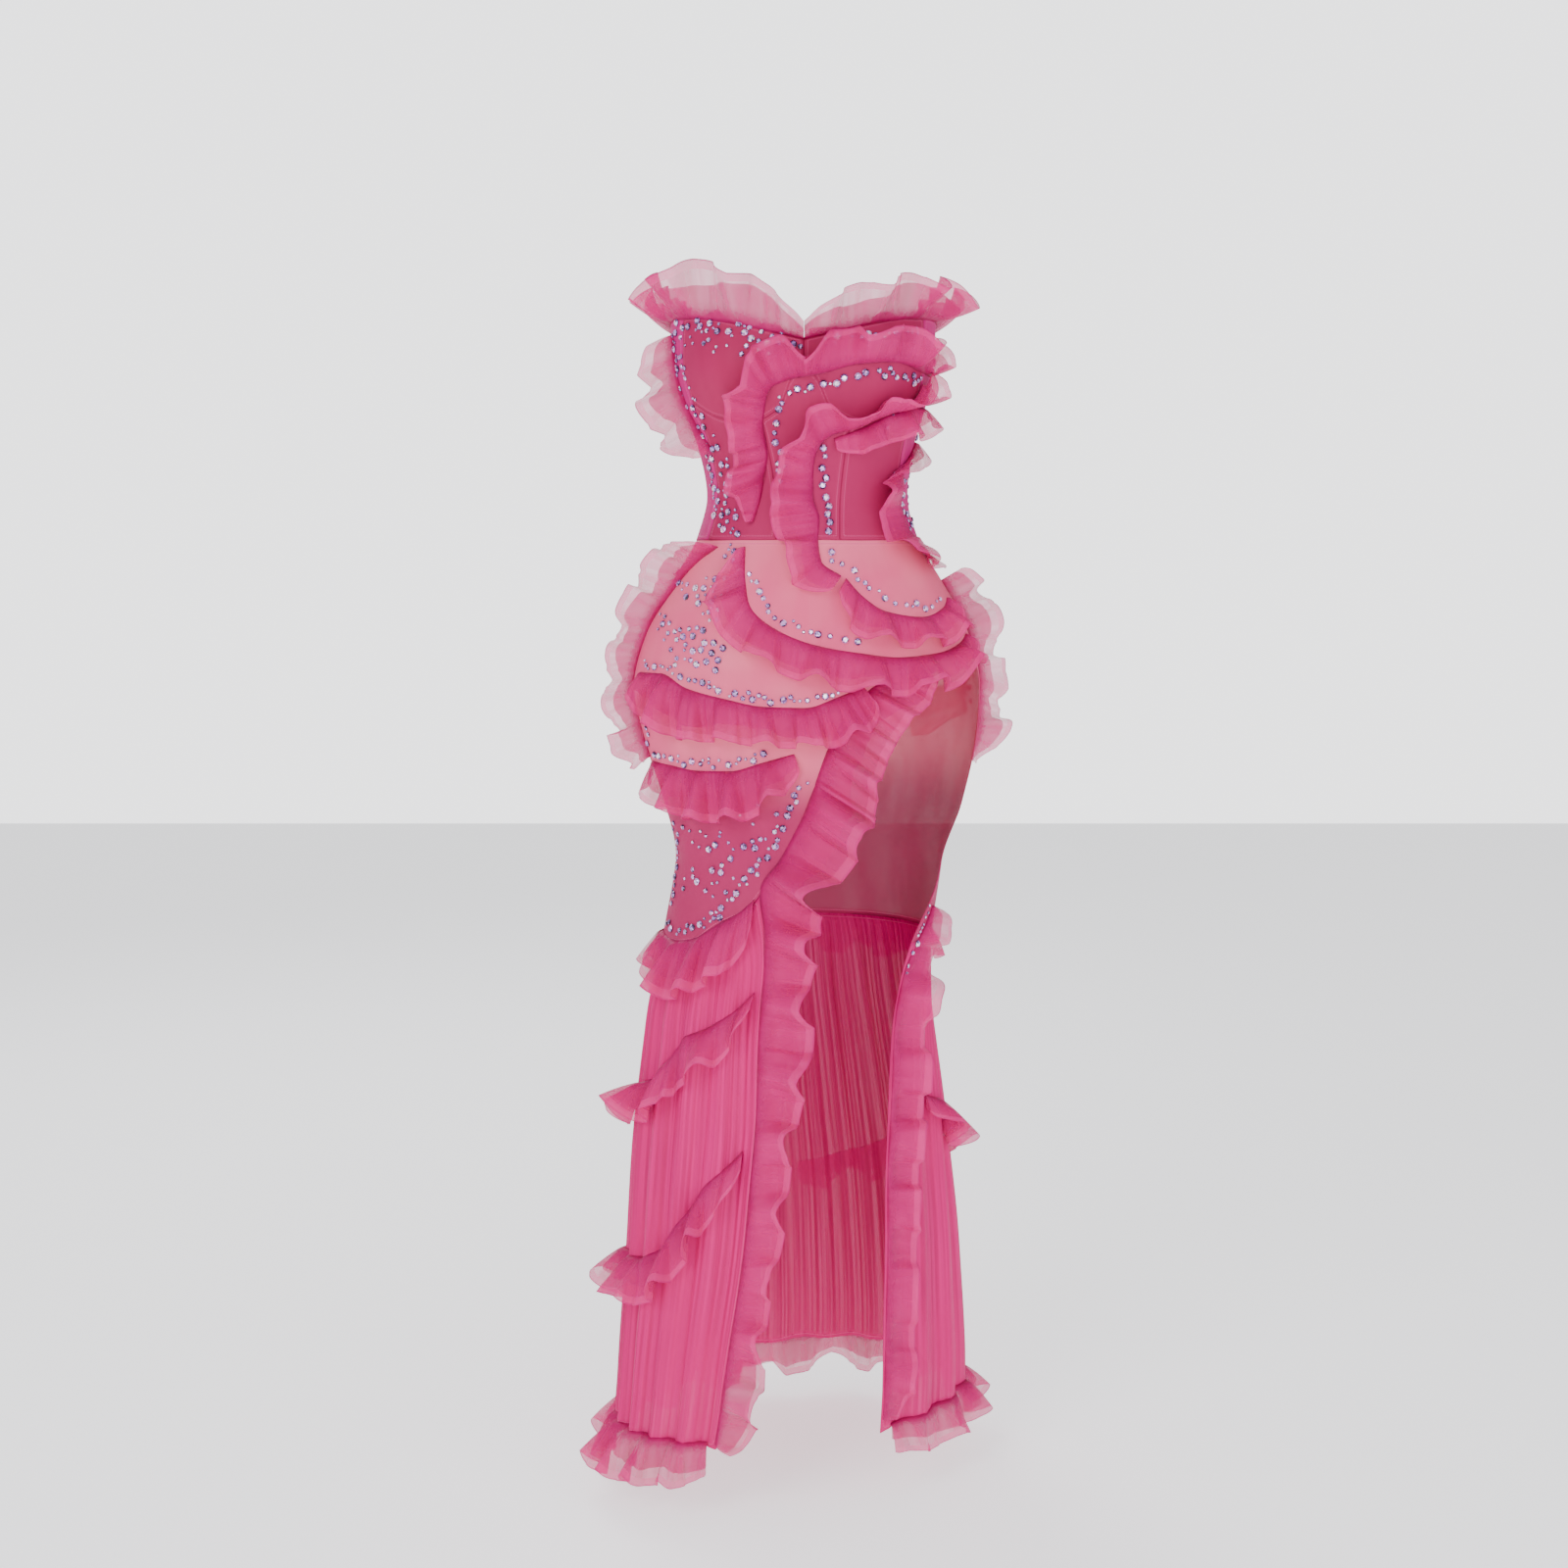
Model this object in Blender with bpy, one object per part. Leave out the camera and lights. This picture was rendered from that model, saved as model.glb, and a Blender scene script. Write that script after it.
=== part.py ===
"""A strapless, full-length stage gown in sheer mesh, with a corset bodice, a high slit over the wearer's
left leg, organza ruffles that wind round the body, and a centre-back zip. Metres, +Z up, the front faces
-Y. The origin is the middle of the waist, where the wearer holds the gown up."""

import math

import bpy
import bmesh
import numpy as np
from mathutils import Matrix, Vector

MM = 0.001

# Cloth
PANEL_WALL = 1.5 * MM
RUFFLE_WALL = 1.2 * MM
SEAM_GAP = 0.3 * MM
ROOT_LIFT = 1.1 * MM  # from the form to a ruffle that is sewn on it, unless the ruffle states another
SAMPLES_PER_WAVE = 6
RUFFLE_ROWS = 3

# The worn form, a ring for each height.
# height, half width, depth in front, depth behind, shift to the wearer's left, turn of the stance
RINGS = np.array(
    [
        (-1.200, 0.211, 0.152, 0.200, -0.015, 0.30),
        (-1.100, 0.209, 0.150, 0.195, -0.014, 0.28),
        (-1.030, 0.206, 0.148, 0.190, -0.012, 0.26),
        (-0.900, 0.197, 0.142, 0.178, -0.012, 0.22),
        (-0.750, 0.184, 0.135, 0.160, -0.016, 0.15),
        (-0.620, 0.169, 0.128, 0.145, -0.017, 0.08),
        (-0.525, 0.160, 0.120, 0.135, -0.010, 0.03),
        (-0.430, 0.158, 0.113, 0.128, 0.004, 0.00),
        (-0.360, 0.176, 0.111, 0.130, 0.010, 0.00),
        (-0.280, 0.197, 0.110, 0.138, 0.006, 0.00),
        (-0.222, 0.204, 0.109, 0.141, 0.001, 0.00),
        (-0.160, 0.190, 0.107, 0.132, 0.001, 0.00),
        (-0.100, 0.158, 0.104, 0.114, 0.002, 0.00),
        (-0.050, 0.129, 0.098, 0.095, 0.002, 0.00),
        (0.000, 0.117, 0.092, 0.084, 0.002, 0.00),
        (0.060, 0.127, 0.101, 0.087, 0.000, 0.00),
        (0.100, 0.141, 0.108, 0.091, -0.002, 0.00),
        (0.150, 0.151, 0.112, 0.095, -0.003, 0.00),
        (0.215, 0.154, 0.102, 0.096, -0.003, 0.00),
        (0.290, 0.156, 0.100, 0.096, -0.003, 0.00),
    ]
)

# Cups, raised from the form on both sides of the centre front
CUP_RISE = 15 * MM
CUP_ANGLE = 34.0
CUP_SPREAD = 25.0
CUP_HEIGHT = 0.138
CUP_REACH = 0.045

# Soft folds of the gathered lower skirt, counted from the right side seam to each edge of the slit
FRONT_FOLDS = 5
BACK_FOLDS = 13
# height, how far a fold stands out or in
FOLD_DEPTHS = np.array(
    [
        (-1.20, 0.0055),
        (-1.00, 0.0050),
        (-0.70, 0.0045),
        (-0.58, 0.0030),
        (-0.50, 0.0),
        (-0.40, 0.0),
    ]
)

# Edges and seams, as angle and height
NECKLINE = np.array(
    [
        (0, 0.170),
        (12, 0.177),
        (26, 0.186),
        (45, 0.196),
        (70, 0.198),
        (100, 0.192),
        (140, 0.166),
        (180, 0.150),
    ]
)
UNDER_CUP = np.array([(0, 0.140), (5, 0.126), (12, 0.092), (28, 0.077), (45, 0.084), (62, 0.104)])
CORSET_EDGE = -0.052
# The fitted front ends on this line: the top of the gathered skirt, then the diagonal edge of the slit.
FRONT_EDGE = np.array(
    [
        (-90, -0.516),
        (-66, -0.520),
        (-50, -0.514),
        (-38, -0.494),
        (-26, -0.476),
        (-17, -0.440),
        (-9, -0.400),
        (-2, -0.360),
        (3, -0.324),
        (7, -0.288),
        (13, -0.250),
        (22, -0.218),
        (34, -0.198),
        (52, -0.186),
        (68, -0.176),
        (80, -0.166),
    ]
)
GATHER_CORNER = -20.0  # the gathered front hangs from that line between the right side seam and this angle
FRONT_END = 80.0  # the fitted front's left side seam
YOKE_EDGE = -0.516
HEM_FRONT = -1.084
HEM_BACK = -1.088
# The slit's two edges below the fitted front, as height and angle
SLIT_FRONT = np.array(
    [
        (-1.10, -25),
        (-1.00, -22),
        (-0.90, -18),
        (-0.80, -14.5),
        (-0.70, -12),
        (-0.60, -12),
        (-0.52, -13),
        (-0.455, -20),
    ]
)
SLIT_BACK = np.array(
    [
        (-1.10, 28),
        (-0.95, 30),
        (-0.82, 33),
        (-0.70, 38),
        (-0.60, 44),
        (-0.54, 51),
        (-0.50, 60),
        (-0.44, 80),
        (-0.38, 90),
        (-0.30, 92),
        (-0.24, 89),
        (-0.19, 82),
        (-0.16, 80),
        (-0.04, 80),
    ]
)

CENTRE_SEAM_TOP = 22.0  # the long seams beside the centre front, at the cups and at the corset's edge
CENTRE_SEAM_FOOT = 16.0
SIDE_FRONT_SEAM = 62.0
SIDE_BACK_SEAM = 118.0
SIDE_PANELS = (("side", SIDE_FRONT_SEAM, SIDE_BACK_SEAM), ("back", SIDE_BACK_SEAM, 180.0))

# Points of the panels' grids
CUP_ROWS = 5
CUP_INNER_COLUMNS = 5  # from the middle to the seam beside the centre front
CUP_OUTER_COLUMNS = 6  # from there to the side
CORSET_ROWS = 7
SIDE_ROWS = 10
SIDE_COLUMNS = 8
SKIRT_ROWS = 14
SLIT_COLUMNS = 13  # of the fitted front, beyond the gathered corner
SLIT_COLUMN_START = -14.0
BACK_RIGHT_COLUMNS = 9
BACK_LEFT_COLUMNS = 11
LOWER_ROWS = 9
COLUMNS_PER_FOLD = 4

WAVE_SWAY = 0.05  # how far a ruffle's wave leans along its strip, as part of the wave's length
FLATTEST = math.radians(7)  # the strip's lowest and steepest slopes from the body
STEEPEST = math.radians(78)
WAVE_RADIUS = 0.15  # the body's mean radius, for measuring along a ruffle

# Ruffles. Each row gives a place on the gathered root, the middle of the free edge's waves across from it,
# and how far in millimetres it stands out: root angle, root height, free angle, free height, stand.
# swing is how many degrees each wave lifts the strip off the body and lays it down again.
RUFFLES = {
    "ruffle_neckline_right": dict(
        waves=7,
        swing=18,
        rows=[
            (-0.8, 0.168, -0.8, 0.192, 9),
            (-14, 0.176, -14, 0.226, 14),
            (-30, 0.186, -30, 0.250, 18),
            (-50, 0.193, -52, 0.258, 24),
            (-72, 0.195, -76, 0.236, 38),
            (-95, 0.190, -98, 0.228, 36),
            (-125, 0.173, -126, 0.222, 26),
            (-150, 0.158, -150, 0.208, 20),
            (-178, 0.147, -177, 0.196, 16),
        ],
    ),
    "ruffle_neckline_left": dict(
        waves=7,
        swing=18,
        rows=[
            (0.8, 0.168, 0.8, 0.192, 9),
            (14, 0.176, 15, 0.220, 16),
            (30, 0.186, 31, 0.232, 20),
            (50, 0.193, 52, 0.240, 24),
            (72, 0.195, 76, 0.228, 38),
            (95, 0.190, 98, 0.228, 36),
            (125, 0.173, 126, 0.222, 26),
            (150, 0.158, 150, 0.208, 20),
            (178, 0.147, 177, 0.196, 16),
        ],
    ),
    "ruffle_side_right": dict(
        waves=3,
        swing=22,
        rows=[
            (-76, 0.180, -96, 0.158, 30),
            (-74, 0.145, -98, 0.128, 42),
            (-72, 0.110, -97, 0.088, 40),
            (-68, 0.076, -92, 0.052, 38),
            (-60, 0.050, -76, 0.020, 22),
        ],
    ),
    "ruffle_bust": dict(
        waves=7,
        swing=32,
        rows=[
            (74, 0.132, 82, 0.158, 32),
            (56, 0.136, 60, 0.164, 24),
            (38, 0.143, 40, 0.170, 22),
            (22, 0.140, 24, 0.166, 22),
            (8, 0.130, 10, 0.162, 24),
            (-5, 0.124, -8, 0.160, 24),
            (-14, 0.114, -22, 0.144, 23),
            (-18, 0.094, -33, 0.108, 20),
            (-21, 0.068, -36, 0.070, 20),
            (-21, 0.044, -39, 0.038, 20),
            (-25, 0.012, -43, 0.002, 17),
            (-30, -0.032, -37, -0.036, 7),
        ],
    ),
    "ruffle_centre": dict(
        waves=6,
        swing=32,
        rows=[
            (76, 0.100, 84, 0.128, 34),
            (58, 0.098, 64, 0.126, 24),
            (42, 0.088, 44, 0.108, 20),
            (26, 0.072, 26, 0.092, 20),
            (12, 0.062, 6, 0.090, 23),
            (5, 0.044, -8, 0.062, 23),
            (3, 0.020, -12, 0.028, 22),
            (3, -0.004, -18, -0.006, 22),
            (6, -0.028, -16, -0.034, 21),
            (5, -0.054, -9, -0.062, 21),
            (6, -0.076, -6, -0.098, 20),
            (14, -0.092, 4, -0.124, 17),
        ],
    ),
    "ruffle_centre_under": dict(
        waves=3,
        swing=18,
        rows=[
            (78, 0.094, 84, 0.070, 30),
            (58, 0.092, 60, 0.070, 20),
            (42, 0.082, 44, 0.060, 13),
            (26, 0.066, 28, 0.044, 11),
            (14, 0.056, 16, 0.036, 10),
        ],
    ),
    "ruffle_hip_front": dict(
        waves=4,
        swing=22,
        lift=0.35 * MM,
        rows=[
            (16, -0.095, 6, -0.129, 13),
            (22, -0.116, 16, -0.156, 13),
            (30, -0.132, 28, -0.172, 13),
            (46, -0.139, 46, -0.174, 14),
            (62, -0.130, 64, -0.164, 18),
            (73, -0.118, 76, -0.150, 22),
        ],
    ),
    "ruffle_waist_left": dict(
        waves=3,
        swing=24,
        rows=[
            (86, 0.060, 76, 0.026, 28),
            (76, 0.046, 54, 0.024, 18),
            (67, 0.028, 42, 0.012, 13),
            (64, 0.005, 35, -0.003, 12),
            (65, -0.018, 31, -0.026, 12),
            (68, -0.036, 34, -0.050, 13),
            (72, -0.052, 44, -0.070, 15),
            (78, -0.064, 58, -0.090, 20),
            (86, -0.074, 76, -0.102, 32),
        ],
    ),
    "ruffle_hip_right": dict(
        waves=6,
        swing=20,
        rows=[
            (-50, -0.060, -66, -0.056, 22),
            (-60, -0.076, -84, -0.074, 38),
            (-70, -0.106, -95, -0.112, 40),
            (-76, -0.142, -99, -0.152, 36),
            (-79, -0.182, -100, -0.196, 30),
            (-81, -0.226, -101, -0.240, 30),
            (-83, -0.268, -100, -0.288, 32),
            (-80, -0.304, -87, -0.344, 32),
        ],
    ),
    "ruffle_hip_left": dict(
        waves=4,
        swing=20,
        lift=-0.25 * MM,
        rows=[
            (84, -0.098, 97, -0.096, 52),
            (85, -0.130, 100, -0.134, 44),
            (86, -0.170, 102, -0.180, 34),
            (90, -0.215, 104, -0.230, 32),
            (95, -0.262, 108, -0.276, 42),
            (98, -0.310, 110, -0.326, 26),
        ],
    ),
    "ruffle_tier_1": dict(
        waves=7,
        swing=18,
        lift=0.4 * MM,
        rows=[
            (-32, -0.060, -38, -0.066, 7),
            (-27, -0.096, -42, -0.118, 13),
            (-22, -0.126, -28, -0.164, 13),
            (-12, -0.150, -14, -0.190, 13),
            (2, -0.169, 1, -0.210, 14),
            (16, -0.178, 14, -0.219, 14),
            (32, -0.184, 31, -0.222, 24),
            (50, -0.180, 50, -0.214, 28),
            (66, -0.170, 66, -0.200, 26),
            (76, -0.160, 78, -0.188, 24),
        ],
    ),
    "ruffle_tier_2": dict(
        waves=7,
        swing=14,
        lift=0.45 * MM,
        rows=[
            (-72, -0.204, -72, -0.244, 18),
            (-56, -0.204, -60, -0.258, 15),
            (-42, -0.220, -44, -0.278, 14),
            (-27, -0.231, -28, -0.280, 14),
            (-14, -0.239, -14, -0.286, 14),
            (-1, -0.240, 0, -0.286, 15),
            (9, -0.229, 13, -0.276, 27),
            (18, -0.216, 26, -0.258, 30),
        ],
    ),
    "ruffle_tier_3": dict(
        waves=5,
        swing=18,
        lift=0.4 * MM,
        rows=[
            (-78, -0.308, -83, -0.352, 29),
            (-60, -0.310, -64, -0.358, 16),
            (-44, -0.314, -47, -0.368, 14),
            (-30, -0.313, -31, -0.368, 14),
            (-18, -0.303, -18, -0.354, 14),
            (-6, -0.292, -3, -0.326, 14),
        ],
    ),
    "ruffle_slit_upper": dict(
        waves=4,
        swing=20,
        lift=0.4 * MM,
        rows=[
            (38, -0.193, 50, -0.218, 10),
            (27, -0.206, 43, -0.236, 10),
            (18, -0.226, 33, -0.262, 11),
            (11, -0.252, 27, -0.292, 13),
            (5, -0.288, 23, -0.330, 14),
            (1, -0.322, 22, -0.364, 14),
        ],
    ),
    "ruffle_slit_front": dict(
        waves=10,
        swing=26,
        lift=1.5 * MM,
        rows=[
            (0.6, -0.3255, 21.6, -0.3675, 13),
            (-6, -0.372, 18, -0.412, 15),
            (-13, -0.412, 11, -0.448, 16),
            (-20, -0.446, 8, -0.482, 16),
            (-15, -0.500, 10, -0.516, 15),
            (-13, -0.550, 6, -0.556, 14),
            (-12.6, -0.600, 8, -0.604, 14),
            (-12.6, -0.650, 5, -0.660, 13),
            (-12.8, -0.700, 1, -0.706, 12),
            (-14.4, -0.770, -2, -0.772, 11),
            (-16.2, -0.830, -4, -0.834, 11),
            (-18.4, -0.890, -8, -0.896, 11),
            (-21.2, -0.960, -10, -0.972, 12),
            (-23.4, -1.020, -10, -1.034, 13),
            (-25.2, -1.078, -15, -1.100, 14),
        ],
    ),
    "ruffle_slit_back": dict(
        waves=7,
        swing=24,
        lift=0.6 * MM,
        rows=[
            (74, -0.478, 92, -0.494, 13),
            (60, -0.520, 80, -0.530, 14),
            (50, -0.556, 68, -0.566, 13),
            (45, -0.605, 62, -0.612, 12),
            (40, -0.690, 55, -0.698, 11),
            (35, -0.790, 48, -0.800, 10),
            (32, -0.900, 44, -0.910, 10),
            (30, -1.000, 42, -1.012, 11),
            (29, -1.072, 42, -1.088, 13),
        ],
    ),
    "ruffle_skirt_1": dict(
        waves=4,
        swing=18,
        lift=0.9 * MM,
        rows=[
            (-86, -0.510, -86, -0.566, 14),
            (-66, -0.514, -66, -0.584, 12),
            (-50, -0.508, -50, -0.578, 12),
            (-37, -0.488, -37, -0.560, 12),
            (-27, -0.472, -26, -0.546, 12),
            (-22, -0.458, -17, -0.533, 12),
        ],
    ),
    "ruffle_skirt_2": dict(
        waves=5,
        swing=24,
        lift=1.3 * MM,
        rows=[
            (-16, -0.562, -17, -0.608, 10),
            (-25, -0.588, -26, -0.640, 11),
            (-37, -0.608, -35, -0.658, 12),
            (-48, -0.622, -46, -0.680, 12),
            (-57, -0.654, -56, -0.712, 14),
            (-72, -0.680, -74, -0.728, 22),
            (-90, -0.694, -94, -0.738, 26),
            (-112, -0.702, -114, -0.750, 20),
        ],
    ),
    "ruffle_skirt_3": dict(
        waves=5,
        swing=24,
        lift=1.8 * MM,
        rows=[
            (-18, -0.743, -19, -0.791, 10),
            (-26, -0.768, -28, -0.822, 11),
            (-34, -0.790, -34, -0.846, 12),
            (-42, -0.824, -41, -0.880, 12),
            (-52, -0.860, -51, -0.918, 13),
            (-68, -0.882, -70, -0.934, 18),
            (-88, -0.886, -92, -0.936, 24),
            (-110, -0.890, -112, -0.940, 18),
        ],
    ),
    "ruffle_back_hip": dict(
        waves=5,
        swing=18,
        lift=0.9 * MM,
        rows=[
            (110, -0.218, 116, -0.268, 18),
            (135, -0.232, 137, -0.284, 15),
            (165, -0.244, 165, -0.296, 14),
            (195, -0.250, 195, -0.302, 14),
            (225, -0.252, 224, -0.302, 15),
            (252, -0.250, 249, -0.298, 18),
        ],
    ),
    "ruffle_back_knee": dict(
        waves=7,
        swing=18,
        rows=[
            (98, -0.508, 98, -0.560, 14),
            (120, -0.510, 120, -0.564, 13),
            (150, -0.511, 150, -0.566, 12),
            (180, -0.511, 180, -0.566, 12),
            (215, -0.511, 215, -0.566, 12),
            (245, -0.511, 245, -0.566, 13),
            (269, -0.510, 269, -0.564, 14),
        ],
    ),
    "ruffle_back_left": dict(
        waves=5,
        swing=22,
        lift=1.7 * MM,
        rows=[
            (62, -0.700, 62, -0.752, 16),
            (82, -0.722, 84, -0.778, 24),
            (105, -0.750, 106, -0.804, 20),
            (130, -0.790, 131, -0.842, 15),
            (155, -0.826, 156, -0.880, 14),
            (178, -0.846, 179, -0.900, 14),
        ],
    ),
    "ruffle_hem_front": dict(
        waves=5,
        swing=20,
        lift=1.4 * MM,
        rows=[
            (-29, -1.079, -28, -1.126, 14),
            (-45, -1.079, -45, -1.130, 18),
            (-65, -1.080, -66, -1.134, 24),
            (-89, -1.081, -90, -1.138, 30),
        ],
    ),
    "ruffle_hem_back": dict(
        waves=11,
        swing=20,
        lift=1.6 * MM,
        rows=[
            (33, -1.083, 32, -1.126, 14),
            (70, -1.083, 70, -1.126, 18),
            (100, -1.083, 100, -1.130, 20),
            (140, -1.083, 140, -1.136, 18),
            (180, -1.083, 180, -1.140, 18),
            (220, -1.083, 220, -1.140, 20),
            (268, -1.083, 267, -1.138, 28),
        ],
    ),
}

# Centre-back zip
TAPE_WIDTH = 16 * MM
TAPE_WALL = 1.2 * MM
TAPE_LIFT = 0.6 * MM
TAPE_TOP = 0.140
TAPE_FOOT = -0.120
SLIDER_HEIGHT = 0.122  # the slider's middle
SLIDER_SIZE = Vector((7.0, 2.6, 9.0)) * MM
LUG_SIZE = Vector((2.0, 4.2, 4.4)) * MM
LUG_OVERLAP = 0.2 * MM
PIVOT_STAND = 2.4 * MM  # from the slider's face to the pull's axis
PIVOT_HOLE = 1.2 * MM
PIVOT_BAR = 0.7 * MM
PULL_SIZE = Vector((6.4, 1.2, 27.0)) * MM
PULL_WINDOW = Vector((3.8, 4.0, 5.0)) * MM

# Linear base colour and roughness
MESH_ROSE = ((0.52, 0.08, 0.19), 0.75)
MESH_MAGENTA = ((0.74, 0.06, 0.27), 0.75)
ORGANZA = ((0.80, 0.14, 0.37), 0.6)
TAPE_PINK = ((0.70, 0.07, 0.27), 0.8)
NICKEL = ((0.72, 0.70, 0.70), 0.3)


def clear_scene():
    for item in list(bpy.data.objects):
        bpy.data.objects.remove(item, do_unlink=True)


def material(name, look, metallic=0.0):
    made = bpy.data.materials.new(name)
    made.use_nodes = True
    shader = made.node_tree.nodes["Principled BSDF"]
    shader.inputs["Base Color"].default_value = (*look[0], 1.0)
    shader.inputs["Roughness"].default_value = look[1]
    shader.inputs["Metallic"].default_value = metallic
    return made


def smooth(at, knots, values):
    """A smooth curve through the values at the knots, which never swings past them: a cubic between each
    two, whose slope at a knot is the harmonic mean of the slopes beside it, or level at a turn."""
    at, knots, values = np.asarray(at, float), np.asarray(knots, float), np.asarray(values, float)
    rise = np.diff(values) / np.diff(knots)
    product = rise[1:] * rise[:-1]
    shared = np.where(product > 0, 2 * product / np.where(product > 0, rise[1:] + rise[:-1], 1.0), 0.0)
    slopes = np.concatenate([rise[:1], shared, rise[-1:]])
    k = np.clip(np.searchsorted(knots, at, side="right") - 1, 0, len(knots) - 2)
    span = knots[k + 1] - knots[k]
    t = np.clip((at - knots[k]) / span, 0.0, 1.0)
    start = values[k] * (1 + 2 * t) * (1 - t) ** 2 + slopes[k] * span * t * (1 - t) ** 2
    end = values[k + 1] * t**2 * (3 - 2 * t) + slopes[k + 1] * span * t**2 * (t - 1)
    return start + end


def slit_front(height):
    return smooth(height, SLIT_FRONT[:, 0], SLIT_FRONT[:, 1])


def slit_back(height):
    return smooth(height, SLIT_BACK[:, 0], SLIT_BACK[:, 1])


def fold(angle, height):
    """How far the gathered skirt's folds stand out. They run from the knee seam to the hem, evenly spaced
    between the right side seam and the slit's edges, so they lean as those edges do."""
    angle = (angle + 90) % 360 - 90
    in_front = angle < (slit_front(height) + slit_back(height)) / 2
    front_phase = (angle + 90) / (slit_front(height) + 90) * FRONT_FOLDS
    back_phase = (270 - angle) / (270 - slit_back(height)) * BACK_FOLDS
    depth = smooth(height, FOLD_DEPTHS[:, 0], FOLD_DEPTHS[:, 1])
    return depth * np.cos(2 * math.pi * np.where(in_front, front_phase, back_phase))


def surface(angle, height, folded=True):
    """Points of the worn form: an oval at each height, with cups at the bust and, where folded, the folds
    of the lower skirt. The angle is in degrees, 0 in front, and grows towards the wearer's left."""
    angle, height = np.broadcast_arrays(np.asarray(angle, float), np.asarray(height, float))
    width, front, back, shift, stance = (smooth(height, RINGS[:, 0], RINGS[:, k]) for k in range(1, 6))
    turn = np.radians(angle)
    beside = np.abs((angle + 180) % 360 - 180)
    from_cup = ((beside - CUP_ANGLE) / CUP_SPREAD) ** 2 + ((height - CUP_HEIGHT) / CUP_REACH) ** 2
    push = CUP_RISE * np.exp(-from_cup) + folded * fold(angle, height)
    x = shift + (width + push) * np.sin(turn)
    y = stance * width * np.sin(turn) - (np.where(np.cos(turn) > 0, front, back) + push) * np.cos(turn)
    return np.stack([x, y, height], axis=-1)


def form(angle, height, out=0.0, folded=True):
    """Points moved out from the worn form by a distance, square to it, or to what it is without its folds."""
    across = surface(angle + 0.5, height, folded) - surface(angle - 0.5, height, folded)
    up = surface(angle, height + MM, folded) - surface(angle, height - MM, folded)
    normal = np.cross(across, up)
    normal /= np.linalg.norm(normal, axis=-1, keepdims=True)
    return surface(angle, height) + normal * np.asarray(out)[..., None]


def degrees(distance, height):
    """The angle that a distance round the form takes up, at its mean radius there."""
    return np.degrees(distance / smooth(height, RINGS[:, 0], (RINGS[:, 1] + RINGS[:, 2]) / 2))


def wall(name, inner, outer, finish):
    """A closed wall between two grids of points."""
    rows, columns = inner.shape[:2]
    index = np.arange(rows * columns).reshape(rows, columns)
    quads = np.stack([index[:-1, :-1], index[1:, :-1], index[1:, 1:], index[:-1, 1:]], axis=-1)
    quads = quads.reshape(-1, 4)
    ring = np.concatenate([index[0, :-1], index[:-1, -1], index[-1, :0:-1], index[:0:-1, 0]])
    following = np.roll(ring, -1)
    beyond = rows * columns
    rim = np.stack([ring, following, following + beyond, ring + beyond], axis=-1)
    points = np.concatenate([inner.reshape(-1, 3), outer.reshape(-1, 3)])
    faces = np.concatenate([quads[:, ::-1], quads + beyond, rim])
    mesh = bpy.data.meshes.new(name)
    mesh.from_pydata(points.tolist(), [], faces.tolist())
    closed = bmesh.new()
    closed.from_mesh(mesh)
    bmesh.ops.recalc_face_normals(closed, faces=closed.faces[:])
    bmesh.ops.triangulate(closed, faces=closed.faces[:])
    closed.to_mesh(mesh)
    closed.free()
    mesh.materials.append(finish)
    item = bpy.data.objects.new(name, mesh)
    bpy.context.collection.objects.link(item)
    return item


def panel(name, angles, heights, finish):
    """A panel of cloth on the form. angles and heights are grids, from its top row to its foot."""
    return wall(name, form(angles, heights, -PANEL_WALL), form(angles, heights, 0.0), finish)


def spread(start, end, count):
    """A grid whose columns run evenly from start to end."""
    return np.linspace(np.asarray(start, float), np.asarray(end, float), count, axis=-1)


def lower(top, foot, rows):
    """A grid whose rows run evenly from the top line down to the foot line."""
    return np.linspace(top + np.zeros_like(foot), foot + np.zeros_like(top), rows, axis=0)


def neckline(angles):
    return smooth(angles, NECKLINE[:, 0], NECKLINE[:, 1])


def under_cup(angles):
    """The top line of the panels under the cups."""
    return smooth(np.abs(angles), UNDER_CUP[:, 0], UNDER_CUP[:, 1]) - SEAM_GAP / 2


def front_edge(angles):
    return smooth(angles, FRONT_EDGE[:, 0], FRONT_EDGE[:, 1])


def build_cups(finish):
    for side, name in ((-1, "bodice_cup_right"), (1, "bodice_cup_left")):
        seam = degrees(SEAM_GAP / 2, 0.15)
        inner = np.linspace(seam, CENTRE_SEAM_TOP, CUP_INNER_COLUMNS)
        outer = np.linspace(CENTRE_SEAM_TOP, SIDE_FRONT_SEAM - seam, CUP_OUTER_COLUMNS)
        angles = np.concatenate([inner, outer[1:]])
        heights = lower(neckline(angles), under_cup(angles) + SEAM_GAP, CUP_ROWS)
        panel(name, side * np.broadcast_to(angles, heights.shape), heights, finish)


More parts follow.
